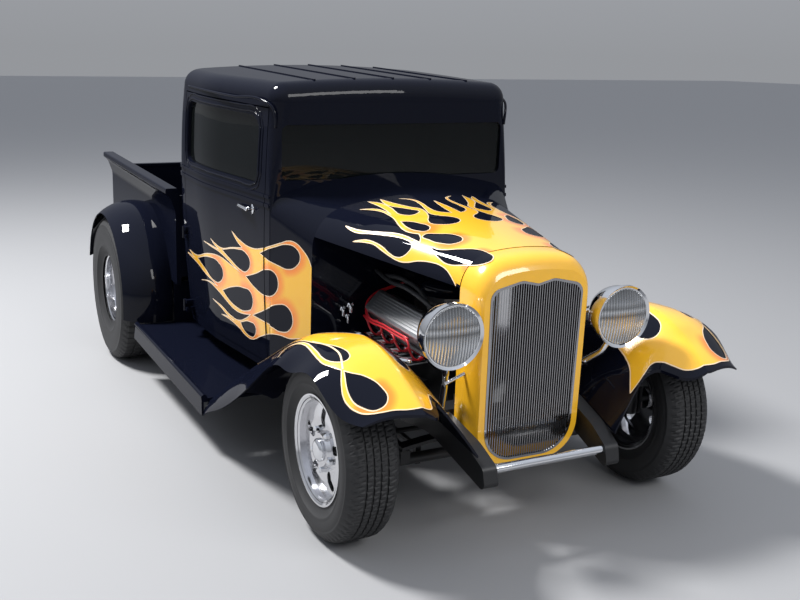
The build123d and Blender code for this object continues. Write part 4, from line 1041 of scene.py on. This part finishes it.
def handle_shape(side):
    """A lever on its stem, with a round rose on the door's skin."""
    x = side * handle_out
    y, z = handle_at
    lever = tube([(x, y - 12, z), (x, y + 40, z), (x, y + 102, z)], lever_radius)
    stem = tube([(x - side * 36, y, z), (x - side * 18, y, z), (x, y, z)], stem_radius)
    path = [(x - side * 48, y, z), (x - side * 36, y, z), (x - side * 24, y, z)]
    rose = tube(path, rose_radius, sides=8)
    return join([lever, stem, rose])


def slab(xs, ys, zs):
    """A flat-sided plate between limits of the body drawing."""
    shape = bmesh.new()
    bmesh.ops.create_cube(shape, size=1.0)
    for vert in shape.verts:
        spans = zip((xs, ys, zs), vert.co)
        vert.co = place(*((low + high) / 2 + share * (high - low) for (low, high), share in spans))
    bmesh.ops.recalc_face_normals(shape, faces=shape.faces[:])
    return shape


class HOTROD_OT_trim(bpy.types.Operator):
    """Adds the drip rails, the black plates of painted shade ahead of the rear wheels, the bright door
    handles and the window beads
    """

    bl_idname = "hotrod.trim"
    bl_label = "Trim"

    def execute(self, context):
        rails = [side_tube(side, rail_path, rail_radius) for side in (1, -1)]
        keep_shape(join(rails), "drip_rails", finishes["black"], "chassis")
        # Painted shade: black plates put where the car's underside is in shadow, hiding the lit floor behind
        near, far = shade_plate_x
        shade_plates = [slab(xs, shade_plate_y, shade_plate_z) for xs in ((near, far), (-far, -near))]
        keep_shape(join(shade_plates), "painted_shade_plates", finishes["black"], "chassis")
        for side, word in ((1, "left"), (-1, "right")):
            door = f"door_{word}_body"
            keep_shape(handle_shape(side), f"handle_{word}", finishes["chrome"], door)
        for side, word in ((1, "left"), (-1, "right")):
            lines = join([window_bead(side, word, *bead) for bead in beads])
            door = f"door_{word}_body"
            keep_shape(lines, f"window_beads_{word}", finishes["black"], door)
        return {"FINISHED"}


# Stage

# Lens of the camera in metres: x, and y from the front axle
camera_at = (-2.2004, -3.3746)
floor_reach = 60.0

# Soft lamps, columns: name, place, point that they face, width and height, all in metres, and watts
lamps = [
    ("KeyLight", (-3.9, 2.6, 7.8), (0, 0, 0.4), (1.6, 1.6), 1500),
    ("FrontLight", (1.5, -7.0, 4.5), (0, -0.5, 0.6), (4.0, 2.0), 200),
]


def area_light(name, at, toward, size, power):
    """A soft rectangular lamp, turned towards a point."""
    light = bpy.data.lights.new(name, "AREA")
    light.shape = "RECTANGLE"
    light.size, light.size_y = size
    light.energy = power
    lamp = bpy.data.objects.new(name, light)
    lamp.location = at
    lamp.rotation_euler = (Vector(toward) - Vector(at)).to_track_quat("-Z", "Y").to_euler()
    bpy.context.scene.collection.objects.link(lamp)


def soft_world():
    """Soft light from all round, a little stronger from above."""
    world = bpy.data.worlds.new("SoftWorld")
    world.use_nodes = True
    tree = world.node_tree
    coord = tree.nodes.new("ShaderNodeTexCoord")
    split = tree.nodes.new("ShaderNodeSeparateXYZ")
    ramp = tree.nodes.new("ShaderNodeValToRGB")
    low, high = ramp.color_ramp.elements
    low.position, high.position = 0.0, 0.7
    low.color = (0.30, 0.31, 0.33, 1.0)
    high.color = (0.62, 0.66, 0.74, 1.0)
    tree.links.new(coord.outputs["Generated"], split.inputs["Vector"])
    tree.links.new(split.outputs["Z"], ramp.inputs["Fac"])
    tree.links.new(ramp.outputs["Color"], tree.nodes["Background"].inputs["Color"])
    return world


def pale_floor():
    """The floor that the car stands on."""
    shape = bmesh.new()
    bmesh.ops.create_grid(shape, x_segments=1, y_segments=1, size=floor_reach)
    mesh = bpy.data.meshes.new("Floor")
    shape.to_mesh(mesh)
    shape.free()
    floor = bpy.data.objects.new("Floor", mesh)
    bpy.context.scene.collection.objects.link(floor)
    material, _, shader = new_material("PaleFloor")
    shader.inputs["Base Color"].default_value = (0.29, 0.29, 0.295, 1.0)
    shader.inputs["Roughness"].default_value = 0.75
    mesh.materials.append(material)
    return floor


def stand_camera():
    """The camera at the photograph's viewing angle."""
    stance = bpy.context.scene.hot_rod_stance
    camera = bpy.data.cameras.new("Camera")
    camera.sensor_width = 36.0
    camera.lens = stance.focal_length
    eye = bpy.data.objects.new("Camera", camera)
    turn = Matrix.Rotation(-stance.camera_yaw, 4, "Z")
    turn = turn @ Matrix.Rotation(math.pi / 2 - stance.camera_pitch, 4, "X")
    turn = turn @ Matrix.Rotation(stance.camera_roll, 4, "Z")
    spot = Vector((camera_at[0], ORIGIN.y + camera_at[1], stance.camera_height))
    eye.matrix_world = Matrix.Translation(spot) @ turn
    bpy.context.scene.collection.objects.link(eye)
    return eye


class HOTROD_OT_stage(bpy.types.Operator):
    """Sets the pale floor, the soft lights and the camera"""

    bl_idname = "hotrod.stage"
    bl_label = "Stage"

    def execute(self, context):
        scene = context.scene
        floor = pale_floor()
        scene.world = soft_world()
        for sizes in lamps:
            area_light(*sizes)
        scene.camera = stand_camera()
        scene.view_settings.view_transform = "Standard"
        return {"FINISHED"}


class HOTROD_PT_panel(bpy.types.Panel):
    """Lists the steps that dress the car"""

    bl_idname = "HOTROD_PT_panel"
    bl_label = "Hot Rod Pickup"
    bl_space_type = "VIEW_3D"
    bl_region_type = "UI"
    bl_category = "Hot Rod"

    def draw(self, context):
        column = self.layout.column()
        for step in steps:
            column.operator(step.bl_idname)


groups = (HotRodStance, HotRodPaint)
steps = (
    HOTROD_OT_finish_frame,
    HOTROD_OT_flames,
    HOTROD_OT_wheels,
    HOTROD_OT_lamps,
    HOTROD_OT_engine,
    HOTROD_OT_trim,
    HOTROD_OT_stage,
)


def register():
    for item in (*groups, *steps, HOTROD_PT_panel):
        bpy.utils.register_class(item)
    bpy.types.Scene.hot_rod_stance = PointerProperty(type=HotRodStance)
    bpy.types.Scene.hot_rod_paint = PointerProperty(type=HotRodPaint)


def unregister():
    del bpy.types.Scene.hot_rod_paint
    del bpy.types.Scene.hot_rod_stance
    for item in reversed((*groups, *steps, HOTROD_PT_panel)):
        bpy.utils.unregister_class(item)


def main():
    """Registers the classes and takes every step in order."""
    register()
    bpy.ops.hotrod.finish_frame()
    bpy.ops.hotrod.flames()
    bpy.ops.hotrod.wheels()
    bpy.ops.hotrod.lamps()
    bpy.ops.hotrod.engine()
    bpy.ops.hotrod.trim()
    bpy.ops.hotrod.stage()


if __name__ == "__main__":
    main()
